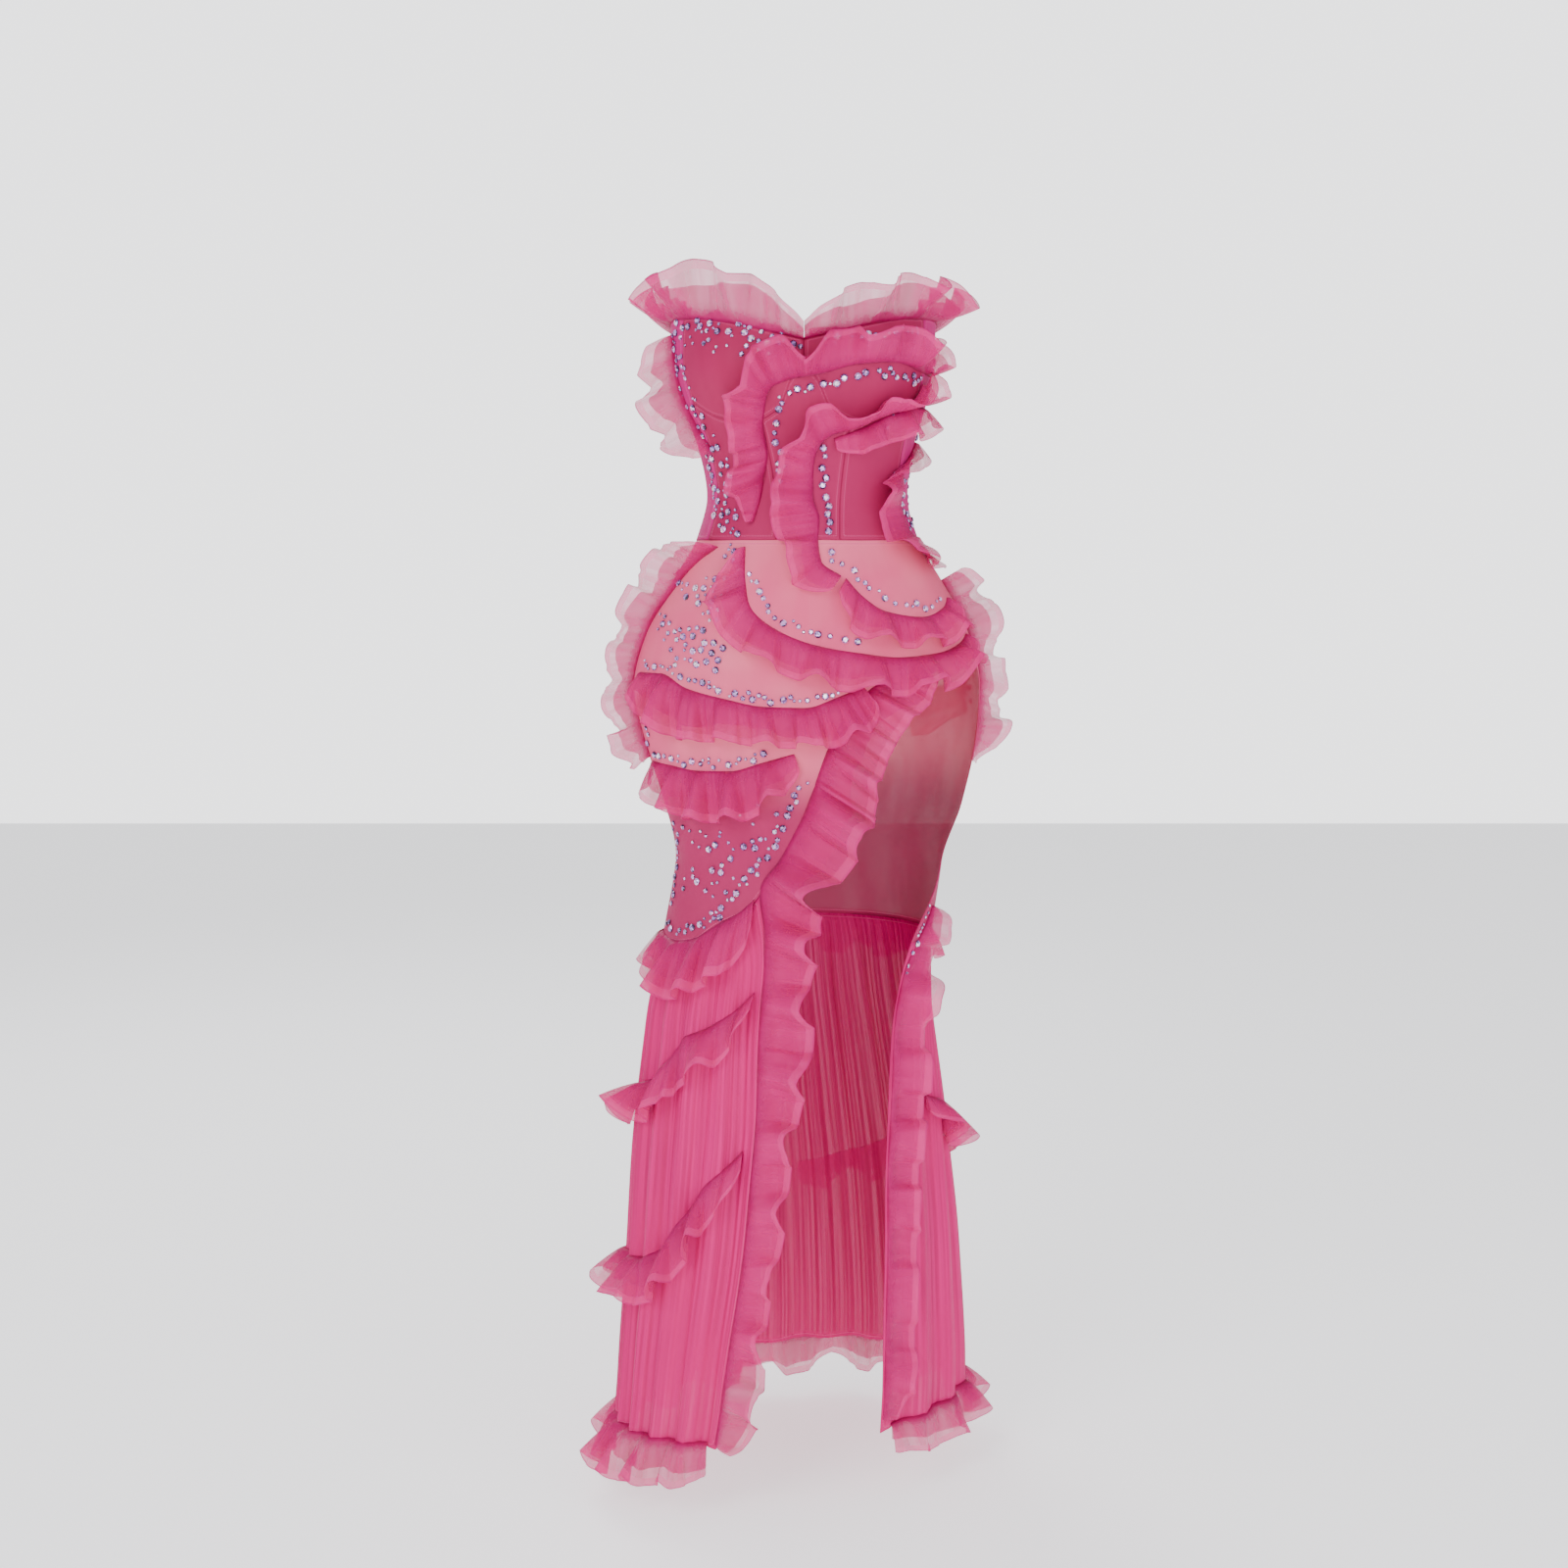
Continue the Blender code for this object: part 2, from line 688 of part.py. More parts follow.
def build_corset(finish_front, finish_side):
    foot = CORSET_EDGE + SEAM_GAP / 2
    # The centre front reaches up between the cups.
    seam = degrees(SEAM_GAP / 2, 0.0)
    half = np.linspace(0, CENTRE_SEAM_TOP - seam, CUP_INNER_COLUMNS)
    top_angles = np.concatenate([-half[:0:-1], half])
    foot_angles = np.linspace(-CENTRE_SEAM_FOOT + seam, CENTRE_SEAM_FOOT - seam, len(top_angles))
    heights = lower(under_cup(top_angles), np.full(len(top_angles), foot), CORSET_ROWS)
    panel("bodice_front_centre", lower(top_angles, foot_angles, CORSET_ROWS), heights, finish_front)
    for side, name in ((-1, "bodice_front_right"), (1, "bodice_front_left")):
        top_angles = np.linspace(CENTRE_SEAM_TOP + seam, SIDE_FRONT_SEAM - seam, CUP_OUTER_COLUMNS)
        foot_angles = np.linspace(CENTRE_SEAM_FOOT + seam, SIDE_FRONT_SEAM - seam, CUP_OUTER_COLUMNS)
        angles = side * lower(top_angles, foot_angles, CORSET_ROWS)
        heights = lower(under_cup(top_angles), np.full(CUP_OUTER_COLUMNS, foot), CORSET_ROWS)
        panel(name, angles, heights, finish_front)
    for side, hand in ((-1, "right"), (1, "left")):
        for place, start, end in SIDE_PANELS:
            angles = np.linspace(start + seam, end - seam, SIDE_COLUMNS)
            heights = lower(neckline(angles), np.full(SIDE_COLUMNS, foot), SIDE_ROWS)
            angles = side * np.broadcast_to(angles, heights.shape)
            panel(f"bodice_{place}_{hand}", angles, heights, finish_side)


def build_skirt(finish):
    top = CORSET_EDGE - SEAM_GAP / 2
    seam = degrees(SEAM_GAP / 2, -0.2)
    columns = FRONT_FOLDS * COLUMNS_PER_FOLD + 1
    top_angles = np.linspace(-90 + seam, GATHER_CORNER, columns)
    slit_angles = np.linspace(SLIT_COLUMN_START, FRONT_END - 2 * seam, SLIT_COLUMNS)
    front_angles = np.concatenate([top_angles[::2], slit_angles])
    foot = front_edge(front_angles) + SEAM_GAP / 2
    heights = lower(np.full(len(front_angles), top), foot, SKIRT_ROWS)
    panel("skirt_front", np.broadcast_to(front_angles, heights.shape), heights, finish)

    heights = np.linspace(top, YOKE_EDGE + SEAM_GAP / 2, SKIRT_ROWS)
    right_seam = np.full(SKIRT_ROWS, 270 - seam)
    angles = spread(np.full(SKIRT_ROWS, 180 + seam), right_seam, BACK_RIGHT_COLUMNS)
    panel("skirt_back_right", angles, np.broadcast_to(heights[:, None], angles.shape), finish)
    angles = spread(slit_back(heights) + seam, np.full(SKIRT_ROWS, 180 - seam), BACK_LEFT_COLUMNS)
    panel("skirt_back_left", angles, np.broadcast_to(heights[:, None], angles.shape), finish)

    top_heights = np.interp(top_angles, front_angles, front_edge(front_angles)) - SEAM_GAP
    heights = lower(top_heights, np.full(columns, HEM_FRONT), LOWER_ROWS)
    angles = spread(np.full(LOWER_ROWS, -90 + seam), slit_front(heights[:, -1]), columns)
    panel("skirt_lower_front", angles, heights, finish)

    columns = BACK_FOLDS * COLUMNS_PER_FOLD + 1
    top = YOKE_EDGE - SEAM_GAP / 2
    heights = lower(np.full(columns, top), np.full(columns, HEM_BACK), LOWER_ROWS)
    angles = spread(slit_back(heights[:, 0]), np.full(LOWER_ROWS, 270 - seam), columns)
    panel("skirt_lower_back", angles, heights, finish)


def ruffle(name, rows, waves, swing, finish, lift=ROOT_LIFT):
    """A gathered strip of even width from its root line to its free edge. Along it run waves that lift the
    strip off the body and lay it down again, and each lean one way, so that a crest is wider than its neck."""
    rows = np.array(rows, float)
    metric = np.array([np.radians(WAVE_RADIUS), 1])
    steps = np.linalg.norm(np.diff((rows[:, :2] + rows[:, 2:4]) / 2 * metric, axis=0), axis=1)
    knots = np.concatenate([[0], np.cumsum(steps)]) / steps.sum()
    samples = np.linspace(0, 1, waves * SAMPLES_PER_WAVE + 1)
    along, reach = np.meshgrid(samples, np.linspace(0, 1, RUFFLE_ROWS))
    phase = 2 * math.pi * waves * along
    place = np.clip(along - WAVE_SWAY * reach * np.cos(phase) / waves, 0, 1)
    root_angle, root_height, free_angle, free_height, stand = (
        smooth(place, knots, rows[:, k]) for k in range(rows.shape[1])
    )
    lying = np.hypot((free_angle - root_angle) * metric[0], free_height - root_height)
    width = np.hypot(lying, stand * MM)
    slope = np.arctan2(stand * MM, lying) + math.radians(swing) * np.sin(phase)
    slope = np.clip(slope, FLATTEST, STEEPEST)
    span = reach * width * np.cos(slope) / lying
    angle = root_angle + (free_angle - root_angle) * span
    height = root_height + (free_height - root_height) * span
    out = lift + RUFFLE_WALL / 2 + reach * width * np.sin(slope)
    points = form(angle, height, out, folded=False)
    normal = np.cross(np.gradient(points, axis=1), np.gradient(points, axis=0))
    normal *= RUFFLE_WALL / 2 / np.linalg.norm(normal, axis=-1, keepdims=True)
    return wall(name, points - normal, points + normal, finish)


def cube(name, size, centre):
    """A box, as a mesh in the frame of the slider."""
    mesh = bpy.data.meshes.new(name)
    shape = bmesh.new()
    place = Matrix.Translation(centre) @ Matrix.Diagonal((*size, 1.0))
    bmesh.ops.create_cube(shape, size=1.0, matrix=place)
    shape.to_mesh(mesh)
    shape.free()
    item = bpy.data.objects.new(name, mesh)
    bpy.context.collection.objects.link(item)
    return item


def rod(name, radius, length, centre, sides=12):
    """A round bar along X."""
    mesh = bpy.data.meshes.new(name)
    shape = bmesh.new()
    turn = Matrix.Translation(centre) @ Matrix.Rotation(math.pi / 2, 4, "Y")
    bmesh.ops.create_cone(
        shape, cap_ends=True, segments=sides, radius1=radius, radius2=radius, depth=length, matrix=turn
    )
    shape.to_mesh(mesh)
    shape.free()
    item = bpy.data.objects.new(name, mesh)
    bpy.context.collection.objects.link(item)
    return item


def join(item, other, operation):
    """Adds a Boolean, whose other shape stays as a hidden guide."""
    other.hide_render = True
    other.display_type = "WIRE"
    cut = item.modifiers.new(operation.lower(), "BOOLEAN")
    cut.operation = operation
    cut.object = other
    other.matrix_world = item.matrix_world.copy()


def build_zip(cloth_finish, metal_finish):
    heights = np.linspace(TAPE_TOP, TAPE_FOOT, 16)[:, None]
    half = degrees(TAPE_WIDTH / 2, 0.0)
    angles = np.linspace(180 - half, 180 + half, 4)[None, :]
    angles, heights = np.broadcast_arrays(angles, heights)
    wall(
        "back_zip_tape",
        form(angles, heights, TAPE_LIFT),
        form(angles, heights, TAPE_LIFT + TAPE_WALL),
        cloth_finish,
    )
    # The slider's frame: X across, Y out from the back, Z up the tape.
    face = TAPE_LIFT + TAPE_WALL + SEAM_GAP
    low = Vector(form(180.0, SLIDER_HEIGHT - SLIDER_SIZE.z / 2, face))
    high = Vector(form(180.0, SLIDER_HEIGHT + SLIDER_SIZE.z / 2, face))
    up = (high - low).normalized()
    tilt = math.atan2(-up.y, up.z)
    place = Matrix.Translation((low + high) / 2) @ Matrix.Rotation(tilt, 4, "X")

    slider = cube("zip_slider", SLIDER_SIZE, Vector((0, SLIDER_SIZE.y / 2, 0)))
    slider.matrix_world = place
    lug_middle = Vector((0, SLIDER_SIZE.y + LUG_SIZE.y / 2 - LUG_OVERLAP, 0))
    join(slider, cube("slider_lug", LUG_SIZE, lug_middle), "UNION")
    pivot = Vector((0, SLIDER_SIZE.y + PIVOT_STAND, 0))
    join(slider, rod("slider_hole", PIVOT_HOLE, 2 * LUG_SIZE.x, pivot), "DIFFERENCE")
    slider.data.materials.append(metal_finish)

    # The pull hangs plumb from its bar.
    pull = cube("zip_pull", PULL_SIZE, Vector((0, 0, -PULL_SIZE.z / 2 + LUG_OVERLAP)))
    pull.matrix_world = Matrix.Translation(place @ pivot)
    window_middle = Vector((0, 0, -PULL_WINDOW.z / 2))
    join(pull, cube("pull_window", PULL_WINDOW, window_middle), "DIFFERENCE")
    join(pull, rod("pull_bar", PIVOT_BAR, PULL_SIZE.x, Vector((0, 0, 0))), "UNION")
    pull.data.materials.append(metal_finish)


def main():
    clear_scene()
    rose = material("mesh_rose", MESH_ROSE)
    magenta = material("mesh_magenta", MESH_MAGENTA)
    organza = material("organza", ORGANZA)
    build_cups(rose)
    build_corset(rose, magenta)
    build_skirt(magenta)
    for name, sizes in RUFFLES.items():
        ruffle(name, finish=organza, **sizes)
    build_zip(material("zip_tape", TAPE_PINK), material("nickel", NICKEL, metallic=1.0))


main()
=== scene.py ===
import bpy
import math
import numpy as np
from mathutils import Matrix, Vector


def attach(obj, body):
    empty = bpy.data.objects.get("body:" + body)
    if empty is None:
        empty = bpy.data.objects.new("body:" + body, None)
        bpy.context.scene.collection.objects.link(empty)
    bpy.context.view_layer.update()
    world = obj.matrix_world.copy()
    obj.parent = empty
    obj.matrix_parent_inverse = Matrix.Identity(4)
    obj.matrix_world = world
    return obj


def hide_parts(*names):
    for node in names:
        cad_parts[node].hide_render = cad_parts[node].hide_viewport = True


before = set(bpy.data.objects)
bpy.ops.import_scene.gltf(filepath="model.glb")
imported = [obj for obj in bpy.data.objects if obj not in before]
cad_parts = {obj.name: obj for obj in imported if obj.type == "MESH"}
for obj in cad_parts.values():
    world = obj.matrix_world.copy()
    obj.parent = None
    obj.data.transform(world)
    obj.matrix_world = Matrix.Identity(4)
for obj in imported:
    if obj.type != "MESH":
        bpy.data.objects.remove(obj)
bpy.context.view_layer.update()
print("frame loaded")

mm = 0.001
turn = 2 * math.pi

wornForm = dict(
    # height, half width, depth in front, depth behind, shift to the wearer's left, and how far the left side
    # goes back, as a share of the half width
    rings=np.array([
        (-1.200, 0.211, 0.152, 0.200, -0.015, 0.30), (-1.100, 0.209, 0.150, 0.195, -0.014, 0.28),
        (-1.030, 0.206, 0.148, 0.190, -0.012, 0.26), (-0.900, 0.197, 0.142, 0.178, -0.012, 0.22),
        (-0.750, 0.184, 0.135, 0.160, -0.016, 0.15), (-0.620, 0.169, 0.128, 0.145, -0.017, 0.08),
        (-0.525, 0.160, 0.120, 0.135, -0.010, 0.03), (-0.430, 0.158, 0.113, 0.128, 0.004, 0.00),
        (-0.360, 0.176, 0.111, 0.130, 0.010, 0.00), (-0.280, 0.197, 0.110, 0.138, 0.006, 0.00),
        (-0.222, 0.204, 0.109, 0.141, 0.001, 0.00), (-0.160, 0.190, 0.107, 0.132, 0.001, 0.00),
        (-0.100, 0.158, 0.104, 0.114, 0.002, 0.00), (-0.050, 0.129, 0.098, 0.095, 0.002, 0.00),
        (0.000, 0.117, 0.092, 0.084, 0.002, 0.00), (0.060, 0.127, 0.101, 0.087, 0.000, 0.00),
        (0.100, 0.141, 0.108, 0.091, -0.002, 0.00), (0.150, 0.151, 0.112, 0.095, -0.003, 0.00),
        (0.215, 0.154, 0.102, 0.096, -0.003, 0.00), (0.290, 0.156, 0.100, 0.096, -0.003, 0.00),
    ]),
    cupRise=0.015, cupAngle=34.0, cupSpread=25.0, cupHeight=0.138, cupReach=0.045,
    frontFolds=5, backFolds=13,
    foldDepths=np.array([  # height, depth
        (-1.20, 0.0055), (-1.00, 0.0050), (-0.70, 0.0045), (-0.58, 0.0030), (-0.50, 0.0), (-0.40, 0.0),
    ]),
    neckline=np.array([  # angle, height
        (0, 0.170), (12, 0.177), (26, 0.186), (45, 0.196),
        (70, 0.198), (100, 0.192), (140, 0.166), (180, 0.150),
    ]),
    underCup=np.array([  # angle, height
        (0, 0.140), (5, 0.126), (12, 0.092), (28, 0.077), (45, 0.084), (62, 0.104),
    ]),
    corsetEdge=-0.052, yokeEdge=-0.516, hemFront=-1.084, hemBack=-1.088,
    frontEdge=np.array([  # angle, height
        (-90, -0.516), (-66, -0.520), (-50, -0.514), (-38, -0.494), (-26, -0.476), (-17, -0.440),
        (-9, -0.400), (-2, -0.360), (3, -0.324), (7, -0.288), (13, -0.250), (22, -0.218),
        (34, -0.198), (52, -0.186), (68, -0.176), (80, -0.166),
    ]),
    slitFront=np.array([  # height, angle
        (-1.10, -25), (-1.00, -22), (-0.90, -18), (-0.80, -14.5),
        (-0.70, -12), (-0.60, -12), (-0.52, -13), (-0.455, -20),
    ]),
    slitBack=np.array([  # height, angle
        (-1.10, 28), (-0.95, 30), (-0.82, 33), (-0.70, 38), (-0.60, 44), (-0.54, 51), (-0.50, 60),
        (-0.44, 80), (-0.38, 90), (-0.30, 92), (-0.24, 89), (-0.19, 82), (-0.16, 80), (-0.04, 80),
    ]),
)


def throughKnots(at, table, column=1):
    # a cubic between each two knots, whose slope at a knot is the harmonic mean of the slopes beside it, or
    # level at a turn
    at = np.asarray(at, float)
    knots, values = table[:, 0].astype(float), table[:, column].astype(float)
    rise = np.diff(values) / np.diff(knots)
    product = rise[1:] * rise[:-1]
    shared = np.where(product > 0, 2 * product / np.where(product > 0, rise[1:] + rise[:-1], 1.0), 0.0)
    slopes = np.concatenate([rise[:1], shared, rise[-1:]])
    k = np.clip(np.searchsorted(knots, at, side="right") - 1, 0, len(knots) - 2)
    span = knots[k + 1] - knots[k]
    t = np.clip((at - knots[k]) / span, 0.0, 1.0)
    start = values[k] * (1 + 2 * t) * (1 - t) ** 2 + slopes[k] * span * t * (1 - t) ** 2
    return start + values[k + 1] * t**2 * (3 - 2 * t) + slopes[k + 1] * span * t**2 * (t - 1)


def foldPhase(angle, height):
    # counts the skirt's folds from the right side seam towards each edge of the slit, so that they lean as
    # those edges do
    angle = (angle + 90) % 360 - 90
    front, back = throughKnots(height, wornForm["slitFront"]), throughKnots(height, wornForm["slitBack"])
    inFront = (angle + 90) / (front + 90) * wornForm["frontFolds"]
    behind = (270 - angle) / (270 - back) * wornForm["backFolds"]
    return np.where(angle < (front + back) / 2, inFront, behind)


def bodyPoint(angle, height, folded=True):
    # an oval at each height, pushed out by two cups at the bust and, where folded, by the lower skirt's folds
    angle, height = np.broadcast_arrays(np.asarray(angle, float), np.asarray(height, float))
    width, front, back, shift, skew = (throughKnots(height, wornForm["rings"], k) for k in range(1, 6))
    around = np.radians(angle)
    beside = np.abs((angle + 180) % 360 - 180)
    fromCup = ((beside - wornForm["cupAngle"]) / wornForm["cupSpread"]) ** 2
    fromCup = fromCup + ((height - wornForm["cupHeight"]) / wornForm["cupReach"]) ** 2
    fold = throughKnots(height, wornForm["foldDepths"]) * np.cos(turn * foldPhase(angle, height))
    push = wornForm["cupRise"] * np.exp(-fromCup) + folded * fold
    x = shift + (width + push) * np.sin(around)
    depth = np.where(np.cos(around) > 0, front, back) + push
    y = skew * width * np.sin(around) - depth * np.cos(around)
    return np.stack([x, y, height], axis=-1)


def bodyNormal(angle, height, folded=True):
    # square to the form: the cross product of a small step round it and a small step up it
    across = bodyPoint(angle + 0.5, height, folded) - bodyPoint(angle - 0.5, height, folded)
    up = bodyPoint(angle, height + mm, folded) - bodyPoint(angle, height - mm, folded)
    normal = np.cross(across, up)
    return normal / np.linalg.norm(normal, axis=-1, keepdims=True)


def offBody(angle, height, out, folded=True):
    return bodyPoint(angle, height) + bodyNormal(angle, height, folded) * np.asarray(out)[..., None]


def ripple(across, along, seed):
    # six plain waves of seeded length, slant and start, added: a soft uneven surface from about -1 to 1
    draw = np.random.default_rng(seed)
    waves = draw.uniform((0.5, -1.4, 0.0), (1.9, 1.4, turn), (6, 3))
    return sum(np.sin(across * a + along * b + c) for a, b, c in waves) / 3.2


# The finishes, made of shader nodes


def addNode(tree, kind, inputs=None, **settings):
    node = tree.nodes.new(kind)
    for key, value in settings.items():
        setattr(node, key, value)
    for key, value in (inputs or {}).items():
        if isinstance(value, bpy.types.NodeSocket):
            tree.links.new(value, node.inputs[key])
        else:
            node.inputs[key].default_value = value
    return node


def mathNode(tree, operation, *values, clamp=False):
    inputs = dict(enumerate(values))
    return addNode(tree, "ShaderNodeMath", inputs, operation=operation, use_clamp=clamp).outputs[0]


def between(tree, value, low, high, start=0.0, end=1.0):
    inputs = {"Value": value, "From Min": low, "From Max": high, "To Min": start, "To Max": end}
    return addNode(tree, "ShaderNodeMapRange", inputs, interpolation_type="SMOOTHSTEP").outputs["Result"]


def mixColour(tree, share, first, second):
    inputs = {0: share, 6: first, 7: second}
    return addNode(tree, "ShaderNodeMix", inputs, data_type="RGBA").outputs[2]


def newGroup(name, sockets, outputs):
    made = bpy.data.node_groups.new(name, "ShaderNodeTree")
    for title, kind, value in sockets:
        socket = made.interface.new_socket(name=title, in_out="INPUT", socket_type=kind)
        if value is not None:
            socket.default_value = value
    for title in outputs:
        made.interface.new_socket(name=title, in_out="OUTPUT", socket_type="NodeSocketFloat")
    return made, addNode(made, "NodeGroupInput"), addNode(made, "NodeGroupOutput")


def makeWeaveGroup():
    # threads both ways: the height is the mean of a wave across and a wave along
    sockets = [("UV", "NodeSocketVector", None), ("Threads", "NodeSocketFloat", 900.0)]
    made, start, end = newGroup("weave", sockets, ["Height"])
    parts = addNode(made, "ShaderNodeSeparateXYZ", {0: start.outputs["UV"]})
    threads = mathNode(made, "MULTIPLY", start.outputs["Threads"], turn)
    ways = [mathNode(made, "SINE", mathNode(made, "MULTIPLY", parts.outputs[k], threads)) for k in (0, 1)]
    height = mathNode(made, "MULTIPLY_ADD", mathNode(made, "ADD", *ways), 0.25, 0.5)
    made.links.new(height, end.inputs["Height"])
    return made


def makeStreakGroup():
    # cloudy lines drawn out along one way of the cloth
    sockets = [
        ("UV", "NodeSocketVector", None),
        ("Across", "NodeSocketFloat", 200.0),
        ("Along", "NodeSocketFloat", 8.0),
    ]
    made, start, end = newGroup("streaks", sockets, ["Value"])
    parts = addNode(made, "ShaderNodeSeparateXYZ", {0: start.outputs["UV"]})
    x = mathNode(made, "MULTIPLY", parts.outputs[0], start.outputs["Across"])
    y = mathNode(made, "MULTIPLY", parts.outputs[1], start.outputs["Along"])
    place = addNode(made, "ShaderNodeCombineXYZ", {0: x, 1: y})
    look = {"Vector": place.outputs[0], "Scale": 1.0, "Detail": 2.0, "Roughness": 0.55}
    noise = addNode(made, "ShaderNodeTexNoise", look).outputs[0]
    made.links.new(between(made, noise, 0.3, 0.7), end.inputs["Value"])
    return made


def makeStitchGroup():
    # a dashed line at a set distance from the sewn edge, on for part of each stitch's length
    sockets = [
        ("UV", "NodeSocketVector", None),
        ("Seam", "NodeSocketFloat", 0.0),
        ("Inset", "NodeSocketFloat", 0.004),
    ]
    made, start, end = newGroup("stitches", sockets, ["Mask"])
    parts = addNode(made, "ShaderNodeSeparateXYZ", {0: start.outputs["UV"]})
    off = mathNode(made, "SUBTRACT", start.outputs["Seam"], start.outputs["Inset"])
    off = mathNode(made, "ABSOLUTE", off)
    line = between(made, off, 0.0003, 0.0006, 1.0, 0.0)
    run = mathNode(made, "ADD", parts.outputs[0], parts.outputs[1])
    dash = between(made, mathNode(made, "PINGPONG", run, 0.0015), 0.0003, 0.0006)
    made.links.new(mathNode(made, "MULTIPLY", line, dash), end.inputs["Mask"])
    return made


weaveGroup, streakGroup, stitchGroup = makeWeaveGroup(), makeStreakGroup(), makeStitchGroup()


def newFinish(name):
    made = bpy.data.materials.new(name)
    made.use_nodes = True
    return made, made.node_tree, made.node_tree.nodes["Principled BSDF"]


def useGroup(tree, group, inputs):
    return addNode(tree, "ShaderNodeGroup", inputs, node_tree=group).outputs[0]


def bumpFrom(tree, shader, height, strength, distance):
    bump = addNode(tree, "ShaderNodeBump", {"Strength": strength, "Distance": distance, "Height": height})
    tree.links.new(bump.outputs[0], shader.inputs["Normal"])


meshFinishes = {
    # the deep and light tones, the clouds' (a random tone, on the hips a pale painted highlight), the seams'
    # and the thread's;
    # streaks to the metre across and along and how far they show; alpha where thin and where dense; the
    # weight of the sheen
    "sheerRose": dict(
        deep=(0.345, 0.007, 0.070, 1), light=(0.445, 0.017, 0.104, 1), cloudAndPaintedHighlight=(0.41, 0.011, 0.100, 1),
        seam=(0.30, 0.006, 0.06, 1), thread=(0.56, 0.05, 0.18, 1),
        across=30.0, along=9.0, show=0.25, thin=0.93, dense=0.97, sheen=0.10,
    ),
    "sheerMagenta": dict(
        deep=(0.48, 0.004, 0.145, 1), light=(0.64, 0.018, 0.225, 1), cloudAndPaintedHighlight=(0.58, 0.006, 0.200, 1),
        seam=(0.42, 0.005, 0.11, 1), thread=(0.70, 0.07, 0.26, 1),
        across=120.0, along=4.0, show=0.6, thin=0.90, dense=0.97, sheen=0.08,
    ),
    # on the hips the cloud tone is a pale painted highlight, a shine laid into the colour where the noise
    # peaks
    "sheerHip": dict(
        deep=(0.78, 0.058, 0.200, 1), light=(0.94, 0.135, 0.280, 1), cloudAndPaintedHighlight=(0.98, 0.225, 0.330, 1),
        seam=(0.52, 0.012, 0.13, 1), thread=(0.80, 0.09, 0.28, 1), lower=(0.42, 0.010, 0.105, 1),
        across=24.0, along=8.0, show=0.3, thin=0.80, dense=0.89, sheen=0.10,
    ),
    "gatheredMesh": dict(
        deep=(0.51, 0.000, 0.116, 1), light=(0.82, 0.001, 0.222, 1), cloudAndPaintedHighlight=(0.69, 0.000, 0.168, 1),
        seam=(0.52, 0.002, 0.13, 1), thread=(0.80, 0.06, 0.26, 1),
        across=230.0, along=1.6, show=0.9, thin=0.84, dense=0.95, sheen=0.01,
    ),
}


def softSheen(shader, weight):
    shader.inputs["Specular IOR Level"].default_value = 0.16
    shader.inputs["Sheen Weight"].default_value = weight
    shader.inputs["Sheen Roughness"].default_value = 0.4
    shader.inputs["Sheen Tint"].default_value = (1.0, 0.30, 0.55, 1)


def makeMesh(name, look):
    made, tree, shader = newFinish(name)
    uv = addNode(tree, "ShaderNodeUVMap", uv_map="cloth").outputs[0]
    seam = addNode(tree, "ShaderNodeAttribute", attribute_name="seam").outputs["Fac"]
    streak = useGroup(tree, streakGroup, {"UV": uv, "Across": look["across"], "Along": look["along"]})
    place = addNode(tree, "ShaderNodeTexCoord").outputs["Object"]
    cloudAndPaintedHighlight = addNode(tree, "ShaderNodeTexNoise", {"Vector": place, "Scale": 6.0, "Detail": 3.0}).outputs[0]
    streak = between(tree, streak, 0.0, 1.0, 0.5 - look["show"] / 2, 0.5 + look["show"] / 2)
    tone = mixColour(tree, streak, look["deep"], look["light"])
    # clouds of a random tone; in sheerHip this tone is a pale painted highlight
    tone = mixColour(tree, between(tree, cloudAndPaintedHighlight, 0.35, 0.7, 0.0, 0.7), tone, look["cloudAndPaintedHighlight"])
    if "lower" in look:  # the close part over the thighs is darker than the hips
        level = addNode(tree, "ShaderNodeSeparateXYZ", {0: place}).outputs[2]
        tone = mixColour(tree, between(tree, level, -0.37, -0.29, 0.9, 0.0), tone, look["lower"])
    sewn = between(tree, seam, 0.0003, 0.0014, 0.8, 0.0)
    tone = mixColour(tree, sewn, tone, look["seam"])
    stitch = useGroup(tree, stitchGroup, {"UV": uv, "Seam": seam, "Inset": 0.0045})
    tree.links.new(mixColour(tree, stitch, tone, look["thread"]), shader.inputs["Base Color"])
    body = between(tree, streak, 0.0, 1.0, look["dense"], look["thin"])
    allowance = between(tree, seam, 0.006, 0.0075, 0.05, 0.0)
    tree.links.new(mathNode(tree, "ADD", body, allowance, clamp=True), shader.inputs["Alpha"])
    weave = useGroup(tree, weaveGroup, {"UV": uv, "Threads": 900.0})
    relief = mathNode(tree, "MULTIPLY_ADD", streak, 0.35, mathNode(tree, "MULTIPLY", weave, 0.4))
    bumpFrom(tree, shader, mathNode(tree, "MULTIPLY_ADD", stitch, 0.8, relief), 0.4, 0.0006)
    tree.links.new(between(tree, weave, 0.0, 1.0, 0.68, 0.5), shader.inputs["Roughness"])
    softSheen(shader, look["sheen"])
    return made


organzaLook = dict(
    root=(0.53, 0.003, 0.140, 1), middle=(0.73, 0.012, 0.212, 1),
    outer=(0.84, 0.032, 0.268, 1), edge=(0.73, 0.011, 0.215, 1),
    across=60.0, along=4.0, sheen=0.14,
    # alpha of each face of the cloth: its thin and dense streaks, what the gathers add, the hem and its line
    thin=0.40, dense=0.52, gathered=0.22, hemAlpha=0.52, lineAlpha=0.72,
    # the folded hem, as shares of the reach
    hemStart=0.82, lineWidth=0.02, edgeStart=0.965,
)


